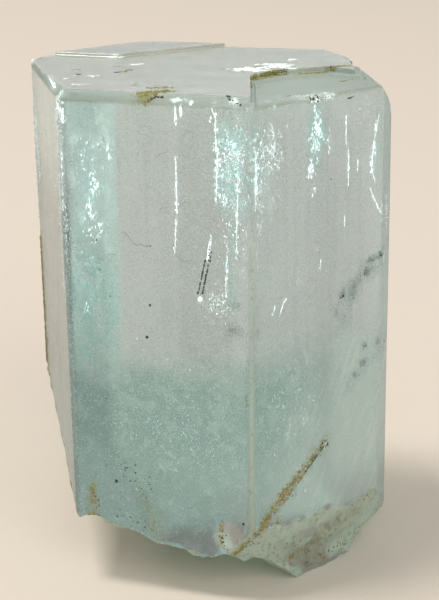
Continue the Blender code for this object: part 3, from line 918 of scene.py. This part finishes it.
class CRYSTAL_OT_streaks(bpy.types.Operator):
    """Adds the growth tubes, bright upright needles that follow the prism"""

    bl_idname = "crystal.streaks"
    bl_label = "Growth Tubes"

    def execute(self, context):
        rng = random.Random(context.scene.crystal_inclusions.seed)
        surface, bm = skin(), bmesh.new()
        for start, end, width in STREAKS:
            start, end = Vector(start), Vector(end)
            spindle(bm, start, end, width)
            for _ in range(int((end - start).length * 5)):
                place = start.lerp(end, rng.random())
                place += Vector((rng.gauss(0, 0.07), rng.gauss(0, 0.05), 0.0))
                place = under_skin(surface, place, 0.1)
                wide, long = rng.uniform(0.05, 0.16), rng.uniform(0.1, 0.45)
                flake(bm, place, wide, 0.03, long, UP, rng.uniform(0, 3))
        new_piece("growth_tubes", bm, bright_gap(), smooth_angle=60.0)
        bm = bmesh.new()
        for start, end, width, number in GRIT:
            for _ in range(number):
                place = Vector(start).lerp(Vector(end), rng.random())
                place += Vector((rng.choice((-0.5, 0.5)) * width, 0.0, 0.0)) * rng.uniform(0.6, 1.1)
                grain(bm, rng, surface, place, rng.uniform(0.07, 0.19))
        new_piece("tube_grit", bm, earth("tube grit", GRIT_DARK, GRIT_LIGHT, 0.95))
        return {"FINISHED"}


class CRYSTAL_OT_nests(bpy.types.Operator):
    """Adds the nests of bright air-filled flakes"""

    bl_idname = "crystal.nests"
    bl_label = "Bright Flakes"

    def execute(self, context):
        rng, surface = random.Random(context.scene.crystal_inclusions.seed + 1), skin()
        bm = bmesh.new()
        for centre, half, number, largest in NESTS:
            part = bmesh.new()
            for _ in range(number):
                place = spread(rng, centre, half, 0.55)
                size = largest * rng.uniform(0.25, 1.0) ** 1.6
                lean = Vector((rng.gauss(0, 0.5), rng.gauss(0, 0.5), 1.0))
                place = under_skin(surface, place, size * 0.4 + 0.04)
                wide, turn = size * rng.uniform(0.3, 0.8), rng.uniform(0, 3)
                if inside(surface, place):
                    flake(part, place, wide, size * 0.12, size * 1.5, lean, turn)
            gather(bm, part)
        for centre, half, number, largest in CHIPS:
            part = bmesh.new()
            for _ in range(number):
                place = spread(rng, centre, half, 0.6)
                size = largest * rng.uniform(0.3, 1.0)
                heading = rng.uniform(-0.5, 0.9)
                place = under_skin(surface, place, 0.02)
                wide = size * rng.uniform(0.4, 0.9)
                lean = (math.cos(heading), math.sin(heading), 0.0)
                flake(part, place, wide, 0.035, size * 1.4, lean, rng.gauss(0, 0.04))
            gather(bm, part)
        for centre, half, number, longest in HAIRS:
            part = bmesh.new()
            for _ in range(number):
                place = spread(rng, centre, half, 0.6)
                foot, normal, _, _ = surface.find_nearest(place)
                lean = Vector((rng.gauss(0, 1.0), rng.gauss(0, 1.0), rng.gauss(0, 0.6)))
                long = longest * rng.uniform(0.3, 1.0)
                flake(part, foot - normal * 0.08, 0.035, 0.03, long, normal.cross(lean))
            gather(bm, part)
        new_piece("bright_flakes", bm, bright_gap())
        return {"FINISHED"}


# Dark feathers: centre, facing, width, height, seed.
SMUDGES = (
    ((14.5, -3.34, 27.6), (0.7, -0.7, 0.1), 1.1, 1.6, 1.0),
    ((13.51, -4.58, 27.55), (0.6, -0.8, 0.2), 1.8, 0.9, 2.0),
    ((13.11, -4.97, 26.73), (0.6, -0.8, 0.0), 1.6, 1.6, 3.0),
    ((12.07, -6.01, 25.22), (0.7, -0.7, 0.2), 1.6, 2.2, 4.0),
    ((10.92, -7.11, 25.29), (0.7, -0.7, 0.0), 1.2, 1.1, 5.0),
    ((10.52, -7.52, 23.8), (0.6, -0.8, 0.1), 1.0, 1.3, 6.0),
    ((2.27, -13.94, 26.41), (-0.2, -1.0, 0.0), 0.9, 0.5, 7.0),
    ((2.02, -13.86, 24.32), (-0.2, -1.0, 0.1), 1.4, 1.0, 8.0),
    ((3.61, -14.17, 24.16), (-0.2, -1.0, 0.0), 0.7, 1.2, 9.0),
    ((13.18, -5.0, 19.94), (0.7, -0.7, 0.1), 1.1, 0.9, 10.0),
    ((14.56, -3.47, 19.86), (0.7, -0.7, 0.0), 0.9, 1.5, 11.0),
    ((14.99, -2.51, 18.71), (0.8, -0.6, 0.0), 0.6, 1.0, 12.0),
    ((13.08, -5.13, 18.35), (0.7, -0.7, 0.1), 1.6, 1.2, 13.0),
    ((12.4, -5.79, 17.58), (0.6, -0.8, 0.1), 1.2, 1.0, 14.0),
)


def dark_film(settings):
    """A torn healed crack that looks dark from the front."""
    f = Finish("dark feather")
    torn = f.noise(0.6, 4.0, 0.7, 1.0)
    specks = f.noise(0.2, 2.0, 0.6)
    share = (torn + f.painted("share") * 0.5).ramp(0.66, 0.86) * specks.ramp(0.3, 0.6, 0.5, 1.0)
    # The emission paints a faint sea-green sheen on the dark feather.
    f.set(
        Base_Color=settings.smudge_colour,
        Roughness=0.7,
        Specular_IOR_Level=0.2,
        Alpha=share * 0.8,
        Emission_Color=FEATHER_SHEEN,
        Emission_Strength=FEATHER_PAINTED_GLOW,
    )
    return f


class CRYSTAL_OT_smudges(bpy.types.Operator):
    """Adds the dark torn feathers"""

    bl_idname = "crystal.smudges"
    bl_label = "Dark Feathers"

    def execute(self, context):
        bm = bmesh.new()
        for centre, normal, width, height, seed in SMUDGES:
            veil(bm, centre, normal, width, height, 0.15, 0.5, seed, soft=1.0)
        film = dark_film(context.scene.crystal_inclusions)
        new_piece("dark_feathers", bm, film, smooth_angle=60.0)
        return {"FINISHED"}


class CRYSTAL_OT_veils(bpy.types.Operator):
    """Hangs the milky veils and the blooms behind the front walls"""

    bl_idname = "crystal.veils"
    bl_label = "Milky Veils"

    def execute(self, context):
        settings, bm = context.scene.crystal_inclusions, bmesh.new()
        for centre, normal, width, height, seed in VEILS:
            veil(bm, centre, normal, width, height, 0.6, 1.2, seed)
        new_piece("milky_veils", bm, milk_film(settings), smooth_angle=60.0)
        bm = bmesh.new()
        for centre, normal, width, height, seed, soft in BLOOMS:
            veil(bm, centre, normal, width, height, 0.3, 0.3, seed, soft=soft)
        new_piece("green_blooms", bm, bloom_film(settings), smooth_angle=60.0)
        return {"FINISHED"}


# What lies on it

# Grains of each crust: a path, how far they stray, how many, the largest grain.
OCHRE = (
    (((3.5, -3.9, 42.85), (5.2, -1.9, 43.0), (6.45, -0.55, 43.1)), 0.24, 230, 0.46),
    (((3.5, -3.9, 42.70), (3.3, -7.7, 42.75)), 0.16, 26, 0.34),
    (((3.5, -7.4, 42.82), (4.2, -4.6, 42.60)), 0.25, 22, 0.26),
    (((7.4, -0.6, 42.9), (10.2, 0.5, 43.05), (12.2, 1.6, 43.15)), 0.26, 130, 0.40),
    (((-5.2, -12.1, 43.0), (-3.2, -11.4, 43.2)), 0.42, 130, 0.46),
    (((-4.4, -10.0, 43.2), (-3.3, -9.8, 43.2)), 0.40, 30, 0.36),
    (((-7.5, -2.0, 43.2), (-6.7, -0.7, 43.2)), 0.22, 22, 0.40),
    (((-4.6, -2.6, 43.2), (-2.6, -2.2, 43.2)), 0.35, 14, 0.14),
    (((-2.9, -8.2, 43.2), (-0.8, -8.6, 43.2)), 0.50, 20, 0.16),
    (((10.9, -3.0, 42.54), (12.0, -1.9, 42.54)), 0.16, 18, 0.26),
    (((-15.7, 5.2, 27.5), (-15.2, 4.4, 13.7)), 0.10, 120, 0.30),
    (((12.0, -6.4, 5.3), (14.3, -4.6, 5.5)), 0.40, 26, 0.26),
    (((9.8, -8.2, 1.2), (12.9, -5.3, 1.4)), 0.25, 44, 0.26),
    (((10.3, -8.5, 12.8), (8.6, -10.1, 11.4)), 0.24, 26, 0.22),
    (((8.8, -9.9, 11.6), (6.4, -12.3, 9.5)), 0.26, 70, 0.30),
    (((6.6, -12.1, 9.7), (4.2, -14.1, 6.9)), 0.34, 80, 0.30),
    (((4.2, -14.1, 6.9), (2.1, -13.5, 4.3)), 0.34, 70, 0.28),
    (((0.9, -14.0, 7.2), (1.0, -14.0, 4.8)), 0.22, 50, 0.26),
    (((-10.05, -10.8, 9.5), (-10.0, -10.8, 6.4)), 0.26, 80, 0.26),
    (((-5.9, -12.0, 9.8), (-4.4, -12.4, 5.0)), 0.60, 60, 0.22),
)
RUST = (
    (((10.0, -8.8, 12.4), (8.9, -9.8, 11.7)), 0.26, 6, 0.18),
    (((8.9, -9.8, 11.7), (7.4, -11.3, 10.4)), 0.30, 14, 0.22),
    (((7.4, -11.3, 10.4), (6.0, -12.7, 9.1)), 0.30, 30, 0.30),
    (((6.3, -12.4, 9.4), (5.7, -13.0, 8.7)), 0.30, 34, 0.36),
    (((4.9, -13.8, 7.8), (4.3, -14.2, 6.9)), 0.30, 40, 0.36),
    (((4.3, -14.1, 6.9), (3.0, -13.9, 5.2)), 0.30, 26, 0.30),
    (((2.9, -13.8, 5.0), (2.1, -13.5, 4.2)), 0.26, 40, 0.38),
    (((4.4, -14.2, 6.8), (6.2, -12.4, 7.0)), 0.34, 60, 0.28),
    (((7.6, -11.1, 10.2), (6.4, -12.3, 8.6)), 0.34, 70, 0.28),
    (((-10.1, -10.8, 9.3), (-10.0, -10.8, 6.6)), 0.20, 12, 0.22),
    (((-10.4, -10.7, 6.4), (-9.6, -10.9, 6.3)), 0.16, 8, 0.22),
    (((-5.6, -12.1, 9.6), (-4.4, -12.4, 5.2)), 0.60, 12, 0.18),
    (((0.9, -14.0, 7.2), (1.1, -14.0, 5.2)), 0.14, 8, 0.22),
    (((6.9, -10.9, 2.5), (7.3, -10.6, 2.4)), 0.20, 20, 0.30),
    (((3.05, -14.3, 18.9), (3.05, -14.3, 16.6)), 0.10, 20, 0.17),
    (((2.2, -13.5, 4.3), (2.0, -13.4, 4.2)), 0.14, 20, 0.30),
)
DARK = (
    (((3.5, -3.7, 42.80), (6.4, -0.5, 43.0)), 0.26, 60, 0.28),
    (((8.8, -0.2, 42.95), (11.2, 1.1, 43.1)), 0.24, 34, 0.28),
    (((-11.1, -3.2, 43.2), (-10.6, -3.2, 43.2)), 0.10, 10, 0.26),
    (((-8.1, -2.2, 43.2), (-7.4, -2.0, 43.2)), 0.10, 14, 0.26),
    (((-5.1, -12.3, 42.8), (-3.4, -12.5, 42.9)), 0.07, 34, 0.26),
    (((-3.6, -11.2, 43.1), (-3.2, -10.8, 43.2)), 0.12, 14, 0.26),
    (((1.2, -13.3, 43.1), (1.9, -13.8, 42.9)), 0.16, 16, 0.34),
    (((2.0, -14.0, 42.7), (2.5, -14.3, 42.6)), 0.10, 8, 0.24),
    (((7.9, -10.0, 42.3), (8.5, -9.5, 42.4)), 0.22, 30, 0.34),
    (((5.9, -10.2, 42.54), (7.6, -8.9, 42.54)), 0.12, 20, 0.18),
    (((11.25, -7.2, 41.88), (11.7, -6.75, 41.93)), 0.03, 12, 0.22),
    (((11.0, -2.95, 42.54), (11.8, -2.1, 42.54)), 0.06, 12, 0.22),
    (((8.6, -0.5, 42.95), (11.4, 1.4, 43.1)), 0.16, 20, 0.22),
    (((10.0, -8.7, 12.4), (2.3, -13.6, 4.4)), 0.30, 120, 0.22),
    (((-8.0, -11.4, 11.6), (-4.4, -12.4, 9.6)), 0.60, 40, 0.19),
    (((-8.0, -11.4, 7.4), (-4.4, -12.4, 5.4)), 0.70, 36, 0.18),
    (((-10.2, -10.7, 9.4), (-9.6, -10.9, 6.4)), 0.30, 30, 0.24),
    (((0.9, -14.0, 7.2), (1.1, -14.0, 5.0)), 0.24, 24, 0.22),
    (((12.0, -6.6, 5.6), (14.8, -4.0, 5.5)), 0.30, 16, 0.16),
    (((3.0, -14.3, 25.0), (3.05, -14.3, 10.5)), 0.05, 60, 0.09),
    (((3.58, -14.75, 33.0), (3.58, -14.75, 20.0)), 0.02, 60, 0.07),
    (((-10.2, -10.7, 6.6), (-9.7, -10.9, 6.4)), 0.10, 8, 0.22),
)

# Single dark specks: place and size.
SPECKS = (
    (-6.28, -11.89, 11.61, 0.20), (-7.14, -11.64, 11.23, 0.20), (-7.94, -11.40, 9.92, 0.35),
    (-6.73, -11.75, 10.08, 0.19), (-6.30, -11.88, 10.15, 0.19), (-5.09, -12.22, 10.67, 0.19),
    (-6.28, -11.90, 10.90, 0.19), (-7.92, -11.39, 6.64, 0.23), (-6.79, -11.72, 6.71, 0.22),
    (-10.30, -10.76, 19.63, 0.14), (-8.65, -11.23, 17.40, 0.17), (-5.10, -12.27, 23.16, 0.28),
    (-8.78, -11.17, 11.29, 0.14), (-4.82, -12.37, 25.94, 0.28), (-4.68, -12.43, 30.92, 0.14),
    (-9.10, -11.15, 31.10, 0.16), (-8.10, -11.45, 26.40, 0.14), (2.81, -14.48, 7.43, 0.26),
    (14.42, -3.86, 27.75, 0.36), (14.36, -3.92, 28.05, 0.22), (11.0, -7.20, 25.15, 0.30),
    (10.8, -7.40, 25.05, 0.20), (12.9, -5.30, 26.55, 0.20), (13.1, -5.20, 19.95, 0.20),
    (13.3, -5.00, 19.90, 0.16), (15.1, -2.6, 19.5, 0.2), (9.90, -8.60, 35.50, 0.19),
    (10.06, -8.60, 12.20, 0.29), (-8.90, -11.2, 28.6, 0.13),
)

# White crushed spots and lines, set out like a crust; many also stand in for glints, as painted
# highlights.
GLINTS = (
    (((-16.1, 5.4, 39.5), (-16.1, 5.5, 28.5)), 0.06, 420, 0.34),
    (((-15.3, 4.2, 38.0), (-15.2, 3.2, 32.5)), 0.50, 260, 0.26),
    (((-12.1, -9.4, 41.0), (-12.0, -9.6, 33.0)), 0.40, 300, 0.20),
    (((-12.3, -8.8, 33.0), (-12.1, -9.2, 26.5)), 0.50, 420, 0.16),
    (((-13.6, -3.0, 40.0), (-13.0, -5.6, 33.0)), 0.90, 160, 0.14),
    (((-11.5, -10.6, 41.0), (-11.4, -10.6, 28.0)), 0.50, 340, 0.13),
    (((2.6, -14.5, 40.0), (2.6, -14.5, 24.0)), 0.80, 240, 0.10),
    (((7.5, -10.3, 42.3), (8.9, -9.2, 42.3)), 0.30, 70, 0.30),
    (((4.6, -13.6, 41.0), (4.6, -13.6, 31.0)), 0.90, 260, 0.10),
    (((5.9, -10.9, 42.4), (9.6, -8.0, 42.4)), 0.60, 200, 0.14),
    (((-12.0, -9.9, 41.5), (-11.9, -10.1, 39.5)), 0.22, 130, 0.40),
    (((-15.9, 5.0, 43.1), (-15.6, 4.0, 42.9)), 0.15, 50, 0.40),
    (((0.2, -13.7, 42.9), (0.9, -13.8, 41.8)), 0.26, 100, 0.24),
    (((15.0, -2.9, 32.8), (15.1, -2.8, 30.0)), 0.24, 70, 0.30),
    (((14.9, -3.2, 27.9), (14.8, -3.3, 27.2)), 0.12, 20, 0.30),
    (((5.4, -12.8, 37.0), (13.6, -4.7, 34.0)), 2.80, 420, 0.10),
    (((5.4, -12.8, 28.0), (11.0, -7.2, 27.0)), 2.20, 300, 0.10),
    (((-10.5, -10.7, 38.0), (-8.4, -11.3, 24.0)), 1.20, 380, 0.11),
)

# Short hair-like threads of lint caught on the front walls.
THREADS = (
    ((-3.92, -12.66, 33.9), (-3.70, -12.72, 34.25), (-3.45, -12.80, 34.1), (-3.30, -12.84, 34.4)),
    ((-2.48, -13.07, 34.1), (-2.20, -13.15, 34.5), (-1.84, -13.26, 34.75)),
    ((-8.40, -11.40, 39.6), (-8.32, -11.42, 39.4), (-8.22, -11.45, 39.1)),
    ((-9.13, -11.14, 29.6), (-8.60, -11.30, 29.45), (-8.05, -11.45, 29.95), (-7.46, -11.62, 30.0)),
    ((-6.86, -11.80, 31.9), (-6.40, -11.94, 31.5), (-6.10, -12.02, 31.0), (-5.65, -12.15, 30.92)),
    ((-5.65, -12.15, 31.0), (-5.20, -12.28, 30.9), (-4.72, -12.42, 30.93)),
    ((-2.74, -12.98, 30.3), (-2.10, -13.17, 29.9), (-1.60, -13.32, 29.95), (-1.14, -13.44, 30.0)),
    ((-1.89, -13.27, 40.4), (-1.50, -13.38, 40.5), (-1.05, -13.51, 40.45)),
    ((-4.10, -12.61, 38.2), (-3.70, -12.73, 38.6), (-3.20, -12.87, 38.65)),
    ((5.30, -13.40, 38.5), (5.80, -12.93, 38.9), (6.10, -12.64, 38.8)),
)


def grain(bm, rng, surface, place, size, thick=1.0, plain=False):
    """A flat grain that sits on the skin, nearest to a place; a plain one is a low pyramid."""
    foot, normal, _, _ = surface.find_nearest(place)
    wide, deep = size / 2, size * rng.uniform(0.10, 0.22) * thick
    sizes = Matrix.Diagonal((wide * rng.uniform(0.55, 1.0), wide, deep, 1.0))
    matrix = Matrix.Translation(foot) @ aimed(normal, rng.uniform(0, math.tau)) @ sizes
    if plain:
        bmesh.ops.create_cone(
            bm, cap_ends=True, segments=4, radius1=1.0, radius2=0.0, depth=2.0, matrix=matrix
        )
    else:
        bmesh.ops.create_icosphere(bm, subdivisions=1, radius=1.0, matrix=matrix)


def crust(name, rows, finish, seed):
    """Makes a crust of grains along paths on the skin."""
    bm = bmesh.new()
    scatter(bm, random.Random(seed), skin(), rows)
    new_piece(name, bm, finish, smooth_angle=60.0)


def scatter(bm, rng, surface, rows, plain=False):
    """Scatters grains along paths on the skin."""
    for path, stray, number, largest in rows:
        points = [Vector(p) for p in path]
        lengths = [(b - a).length for a, b in zip(points, points[1:])]
        part = bmesh.new()
        for _ in range(number):
            leg = rng.choices(range(len(lengths)), lengths)[0]
            place = points[leg].lerp(points[leg + 1], rng.random())
            place += Vector([rng.gauss(0, stray * 0.6) for _ in range(3)])
            size = largest * rng.uniform(0.22, 1.0) ** 1.4
            grain(part, rng, surface, place, size, 3.0 if plain else 1.0, plain)
        gather(bm, part)


# Thick crusts along an edge: lowest point, highest point, number of lumps, width.
RIDGES = (((-16.0, 5.4, 13.4), (-16.2, 5.6, 26.8), 90, 0.22),)

# The second colours of the crusts, both colours of the edge's crust, of the dust and of the lint.
OCHRE_LIGHT, RUST_LIGHT, DARK_LIGHT = (0.42, 0.40, 0.16), (0.36, 0.29, 0.10), (0.10, 0.075, 0.035)
EDGE_OCHRE, EDGE_LIGHT = (0.32, 0.30, 0.12), (0.42, 0.39, 0.20)
DUST_WHITE, DUST_GREY = (0.88, 0.93, 0.92), (0.74, 0.79, 0.77)
LINT_LIGHT, LINT_DARK = (0.24, 0.26, 0.25), (0.08, 0.09, 0.08)


class StainSettings(bpy.types.PropertyGroup):
    """Colours of the stains and grains."""

    ochre: tint("Ochre", "Colour of the iron crust on top", (0.29, 0.27, 0.08))
    dust: IntProperty(name="Dust", description="Number of grains of dust", default=18000, min=0)
    rust: tint("Rust", "Colour of the rust in the crack", (0.44, 0.27, 0.06))
    dark: tint("Dark", "Colour of the dark grains", (0.035, 0.03, 0.02))


def earth(name, colour, second, share):
    """A dull mineral crust of two colours; share is how much of it covers what lies below."""
    f = Finish(name)
    blotch = f.noise(0.5, 3.0, 0.6)
    fine = f.noise(0.12, 2.0, 0.6)
    f.set(
        Base_Color=f.mix(blotch.ramp(0.38, 0.62), colour, second),
        Roughness=0.62 + fine * 0.3,
        Specular_IOR_Level=0.3,
        Alpha=fine.ramp(0.2, 0.7, share - 0.25, share + 0.15),
        Normal=f.bump(fine, 0.03),
    )
    return f


class CRYSTAL_OT_crusts(bpy.types.Operator):
    """Lays the iron crusts, the rust of the crack and the dark grains"""

    bl_idname = "crystal.crusts"
    bl_label = "Crusts and Grains"

    def execute(self, context):
        settings = context.scene.crystal_stains
        seed = context.scene.crystal_inclusions.seed
        ochre = earth("iron ochre", settings.ochre, OCHRE_LIGHT, 0.72)
        crust("ochre_crust", OCHRE, ochre, seed + 2)
        bm, rng, surface = bmesh.new(), random.Random(seed + 7), skin()
        for start, end, number, width in RIDGES:
            for _ in range(number):
                foot = surface.find_nearest(Vector(start).lerp(Vector(end), rng.random()))[0]
                size = width * rng.uniform(0.5, 1.0)
                flake(bm, foot, size, size, size * rng.uniform(2.0, 5.0), UP, rng.uniform(0, 3))
        edge = earth("edge ochre", EDGE_OCHRE, EDGE_LIGHT, 0.85)
        new_piece("edge_crust", bm, edge, smooth_angle=60.0)
        crust("rust_crust", RUST, earth("rust", settings.rust, RUST_LIGHT, 0.72), seed + 3)
        dark = earth("dark mineral", settings.dark, DARK_LIGHT, 0.9)
        crust("dark_grains", DARK, dark, seed + 4)
        rng, bm = random.Random(seed + 5), bmesh.new()
        for x, y, z, size in SPECKS:
            grain(bm, rng, surface, Vector((x, y, z)), size * 1.1)
        new_piece("specks", bm, dark, smooth_angle=60.0)
        return {"FINISHED"}


# Faces of a grain of dust, and its sizes; small ones are more usual.
PYRAMID_FACES = 5
DUST_SIZES = (0.04, 0.04, 0.05, 0.05, 0.06, 0.07, 0.09)


class CRYSTAL_OT_dust(bpy.types.Operator):
    """Strews fine white dust over the walls and the top"""

    bl_idname = "crystal.dust"
    bl_label = "Dust"

    def execute(self, context):
        rng = random.Random(context.scene.crystal_inclusions.seed + 6)
        surface, bm = skin(), bmesh.new()
        while len(bm.faces) < context.scene.crystal_stains.dust * PYRAMID_FACES:
            part = bmesh.new()
            for _ in range(200):
                heading = rng.uniform(0.0, math.tau)
                out = Vector((math.cos(heading), math.sin(heading), 0.0))
                x, y, z = rng.uniform(-9.0, 9.0), rng.uniform(-8.0, 8.0), rng.uniform(5.0, 42.6)
                if rng.random() < 0.14:
                    z, out = 40.0, UP + out * 0.01
                foot = surface.ray_cast(Vector((x, y, z)), out)[0]
                if foot is not None:
                    grain(part, rng, surface, foot, rng.choice(DUST_SIZES), 0.5, plain=True)
            gather(bm, part)
        # The glints are white grains that paint highlights as well as crushed spots.
        scatter(bm, rng, surface, GLINTS, plain=True)
        f = Finish("white dust and glints")
        f.set(Base_Color=f.mix(f.noise(0.4).ramp(0.4, 0.6), DUST_WHITE, DUST_GREY), Roughness=0.7)
        new_piece("dust", bm, f)
        return {"FINISHED"}


def thread(bm, points, width):
    """A thin round thread through points, closed at both ends."""
    made = bmesh.ops.create_circle(
        bm, cap_ends=True, segments=5, radius=width / 2,
        matrix=Matrix.Translation(points[0]) @ aimed(points[1] - points[0]),
    )["verts"]
    cap = next(iter(made[0].link_faces))
    for before, after in zip(points, points[1:]):
        first = before == points[0]
        step = bmesh.ops.extrude_face_region(bm, geom=[cap], use_keep_orig=first)["geom"]
        cap = next(g for g in step if isinstance(g, bmesh.types.BMFace))
        bmesh.ops.translate(bm, vec=after - before, verts=cap.verts)


class CRYSTAL_OT_threads(bpy.types.Operator):
    """Lays short threads of lint on the front walls"""

    bl_idname = "crystal.threads"
    bl_label = "Lint Threads"

    def execute(self, context):
        surface, bm = skin(), bmesh.new()
        for row in THREADS:
            knots = [Vector(p) for p in row]
            points = []
            for a, b in zip(knots, knots[1:]):
                points += [a.lerp(b, i / 3) for i in range(3)]
            points.append(knots[-1])
            laid = []
            for i, p in enumerate(points):
                foot, normal, _, _ = surface.find_nearest(p)
                laid.append(foot + normal * 0.02 + UP * 0.06 * math.sin(i * 1.3))
            thread(bm, laid, 0.03)
        bmesh.ops.recalc_face_normals(bm, faces=bm.faces)
        f = Finish("grey lint")
        f.set(Base_Color=f.mix(f.noise(0.6).ramp(0.3, 0.7), LINT_LIGHT, LINT_DARK), Roughness=0.8)
        new_piece("lint_threads", bm, f, smooth_angle=60.0)
        return {"FINISHED"}


# Floor, lights and camera


class StageSettings(bpy.types.PropertyGroup):
    """The floor, the lights and the camera."""

    floor_colour: tint("Floor", "Colour of the floor", (0.70, 0.61, 0.52))
    high_power: FloatProperty(
        name="High lamp", description="Power of the high lamp, in watts", default=14.2
    )
    back_power: FloatProperty(
        name="Back lamp", description="Power of the back lamp, in watts", default=1.0
    )
    front_power: FloatProperty(
        name="Front lamp", description="Power of the front lamp, in watts", default=4.0
    )
    sky: FloatProperty(
        name="Surrounding light", description="Strength of the even light", default=0.51
    )
    sky_colour: tint("Surroundings", "Colour of the even light", (0.93, 0.95, 0.94))
    lens: FloatProperty(name="Lens", description="Focal length in millimetres", default=90.0)
    pitch: FloatProperty(
        name="Pitch",
        description="How far the camera looks down",
        subtype="ANGLE",
        default=math.radians(17.73),
    )


# Where the lamps aim, their colours and where the camera stands; places are in millimetres.
LAMP_AIM = (0.0, 0.0, 20.0)
WARM_WHITE, COOL_WHITE = (1.0, 0.98, 0.95), (0.97, 0.99, 1.0)
CAMERA = Vector((0.813, -128.024, 63.356))
SENSOR_WIDTH, CLIP_START = 36.0, 0.005


def soft_light(name, place, width, height, power, colour):
    """A rectangular lamp that faces the crystal; places and sizes are in millimetres."""
    lamp = bpy.data.lights.new(name, "AREA")
    lamp.shape = "RECTANGLE"
    lamp.size = width * MM
    lamp.size_y = height * MM
    lamp.energy = power
    lamp.color = colour
    holder = bpy.data.objects.new(name, lamp)
    bpy.context.scene.collection.objects.link(holder)
    place, aim = Vector(place) * MM, Vector(LAMP_AIM) * MM
    holder.location = place
    holder.rotation_euler = (aim - place).to_track_quat("-Z", "Y").to_euler()


class CRYSTAL_OT_stage(bpy.types.Operator):
    """Lays the floor and sets up the lights and the camera"""

    bl_idname = "crystal.stage"
    bl_label = "Stage"

    def execute(self, context):
        scene = context.scene
        settings = scene.crystal_stage
        bm = bmesh.new()
        bmesh.ops.create_grid(bm, x_segments=1, y_segments=1, size=2.0)
        mesh = bpy.data.meshes.new("floor")
        bm.to_mesh(mesh)
        bm.free()
        f = Finish("pale board")
        f.set(Base_Color=settings.floor_colour, Roughness=0.85, Specular_IOR_Level=0.1)
        mesh.materials.append(f.material)
        floor = bpy.data.objects.new("floor", mesh)
        scene.collection.objects.link(floor)
        world = bpy.data.worlds.new("surroundings")
        world.use_nodes = True
        background = world.node_tree.nodes["Background"]
        background.inputs["Color"].default_value = (*settings.sky_colour, 1.0)
        background.inputs["Strength"].default_value = settings.sky
        scene.world = world
        soft_light("high lamp", (-540, -90, 1500), 390, 390, settings.high_power, WARM_WHITE)
        soft_light("front lamp", (250, -800, 700), 800, 600, settings.front_power, COOL_WHITE)
        soft_light("back lamp", (-250, 1000, 460), 900, 400, settings.back_power, WARM_WHITE)
        lens = bpy.data.cameras.new("camera")
        lens.lens = settings.lens
        lens.sensor_width = SENSOR_WIDTH
        lens.clip_start = CLIP_START
        camera = bpy.data.objects.new("camera", lens)
        camera.location = CAMERA * MM
        camera.rotation_euler = (math.pi / 2 - settings.pitch, 0.0, 0.0)
        scene.collection.objects.link(camera)
        bpy.context.scene.camera = camera
        scene.view_settings.view_transform = "Standard"
        return {"FINISHED"}


class CRYSTAL_PT_panel(bpy.types.Panel):
    """Lists what can be built"""

    bl_idname = "CRYSTAL_PT_panel"
    bl_label = "Aquamarine Crystal"
    bl_space_type = "VIEW_3D"
    bl_region_type = "UI"
    bl_category = "Crystal"

    def draw(self, context):
        for operator in STEPS:
            self.layout.operator(operator.bl_idname)


GROUPS = {
    "crystal_body": CrystalSettings,
    "crystal_inclusions": InclusionSettings,
    "crystal_stains": StainSettings,
    "crystal_stage": StageSettings,
}
STEPS = (
    CRYSTAL_OT_body,
    CRYSTAL_OT_streaks,
    CRYSTAL_OT_nests,
    CRYSTAL_OT_smudges,
    CRYSTAL_OT_veils,
    CRYSTAL_OT_crusts,
    CRYSTAL_OT_dust,
    CRYSTAL_OT_threads,
    CRYSTAL_OT_stage,
)


def register():
    for cls in (*GROUPS.values(), *STEPS, CRYSTAL_PT_panel):
        bpy.utils.register_class(cls)
    for name, group in GROUPS.items():
        setattr(bpy.types.Scene, name, PointerProperty(type=group))


def unregister():
    for name in GROUPS:
        delattr(bpy.types.Scene, name)
    for cls in reversed((*GROUPS.values(), *STEPS, CRYSTAL_PT_panel)):
        bpy.utils.unregister_class(cls)


def main():
    register()
    bpy.ops.crystal.body()
    bpy.ops.crystal.streaks()
    bpy.ops.crystal.nests()
    bpy.ops.crystal.smudges()
    bpy.ops.crystal.veils()
    bpy.ops.crystal.crusts()
    bpy.ops.crystal.dust()
    bpy.ops.crystal.threads()
    bpy.ops.crystal.stage()
    bpy.context.view_layer.update()


if __name__ == "__main__":
    main()
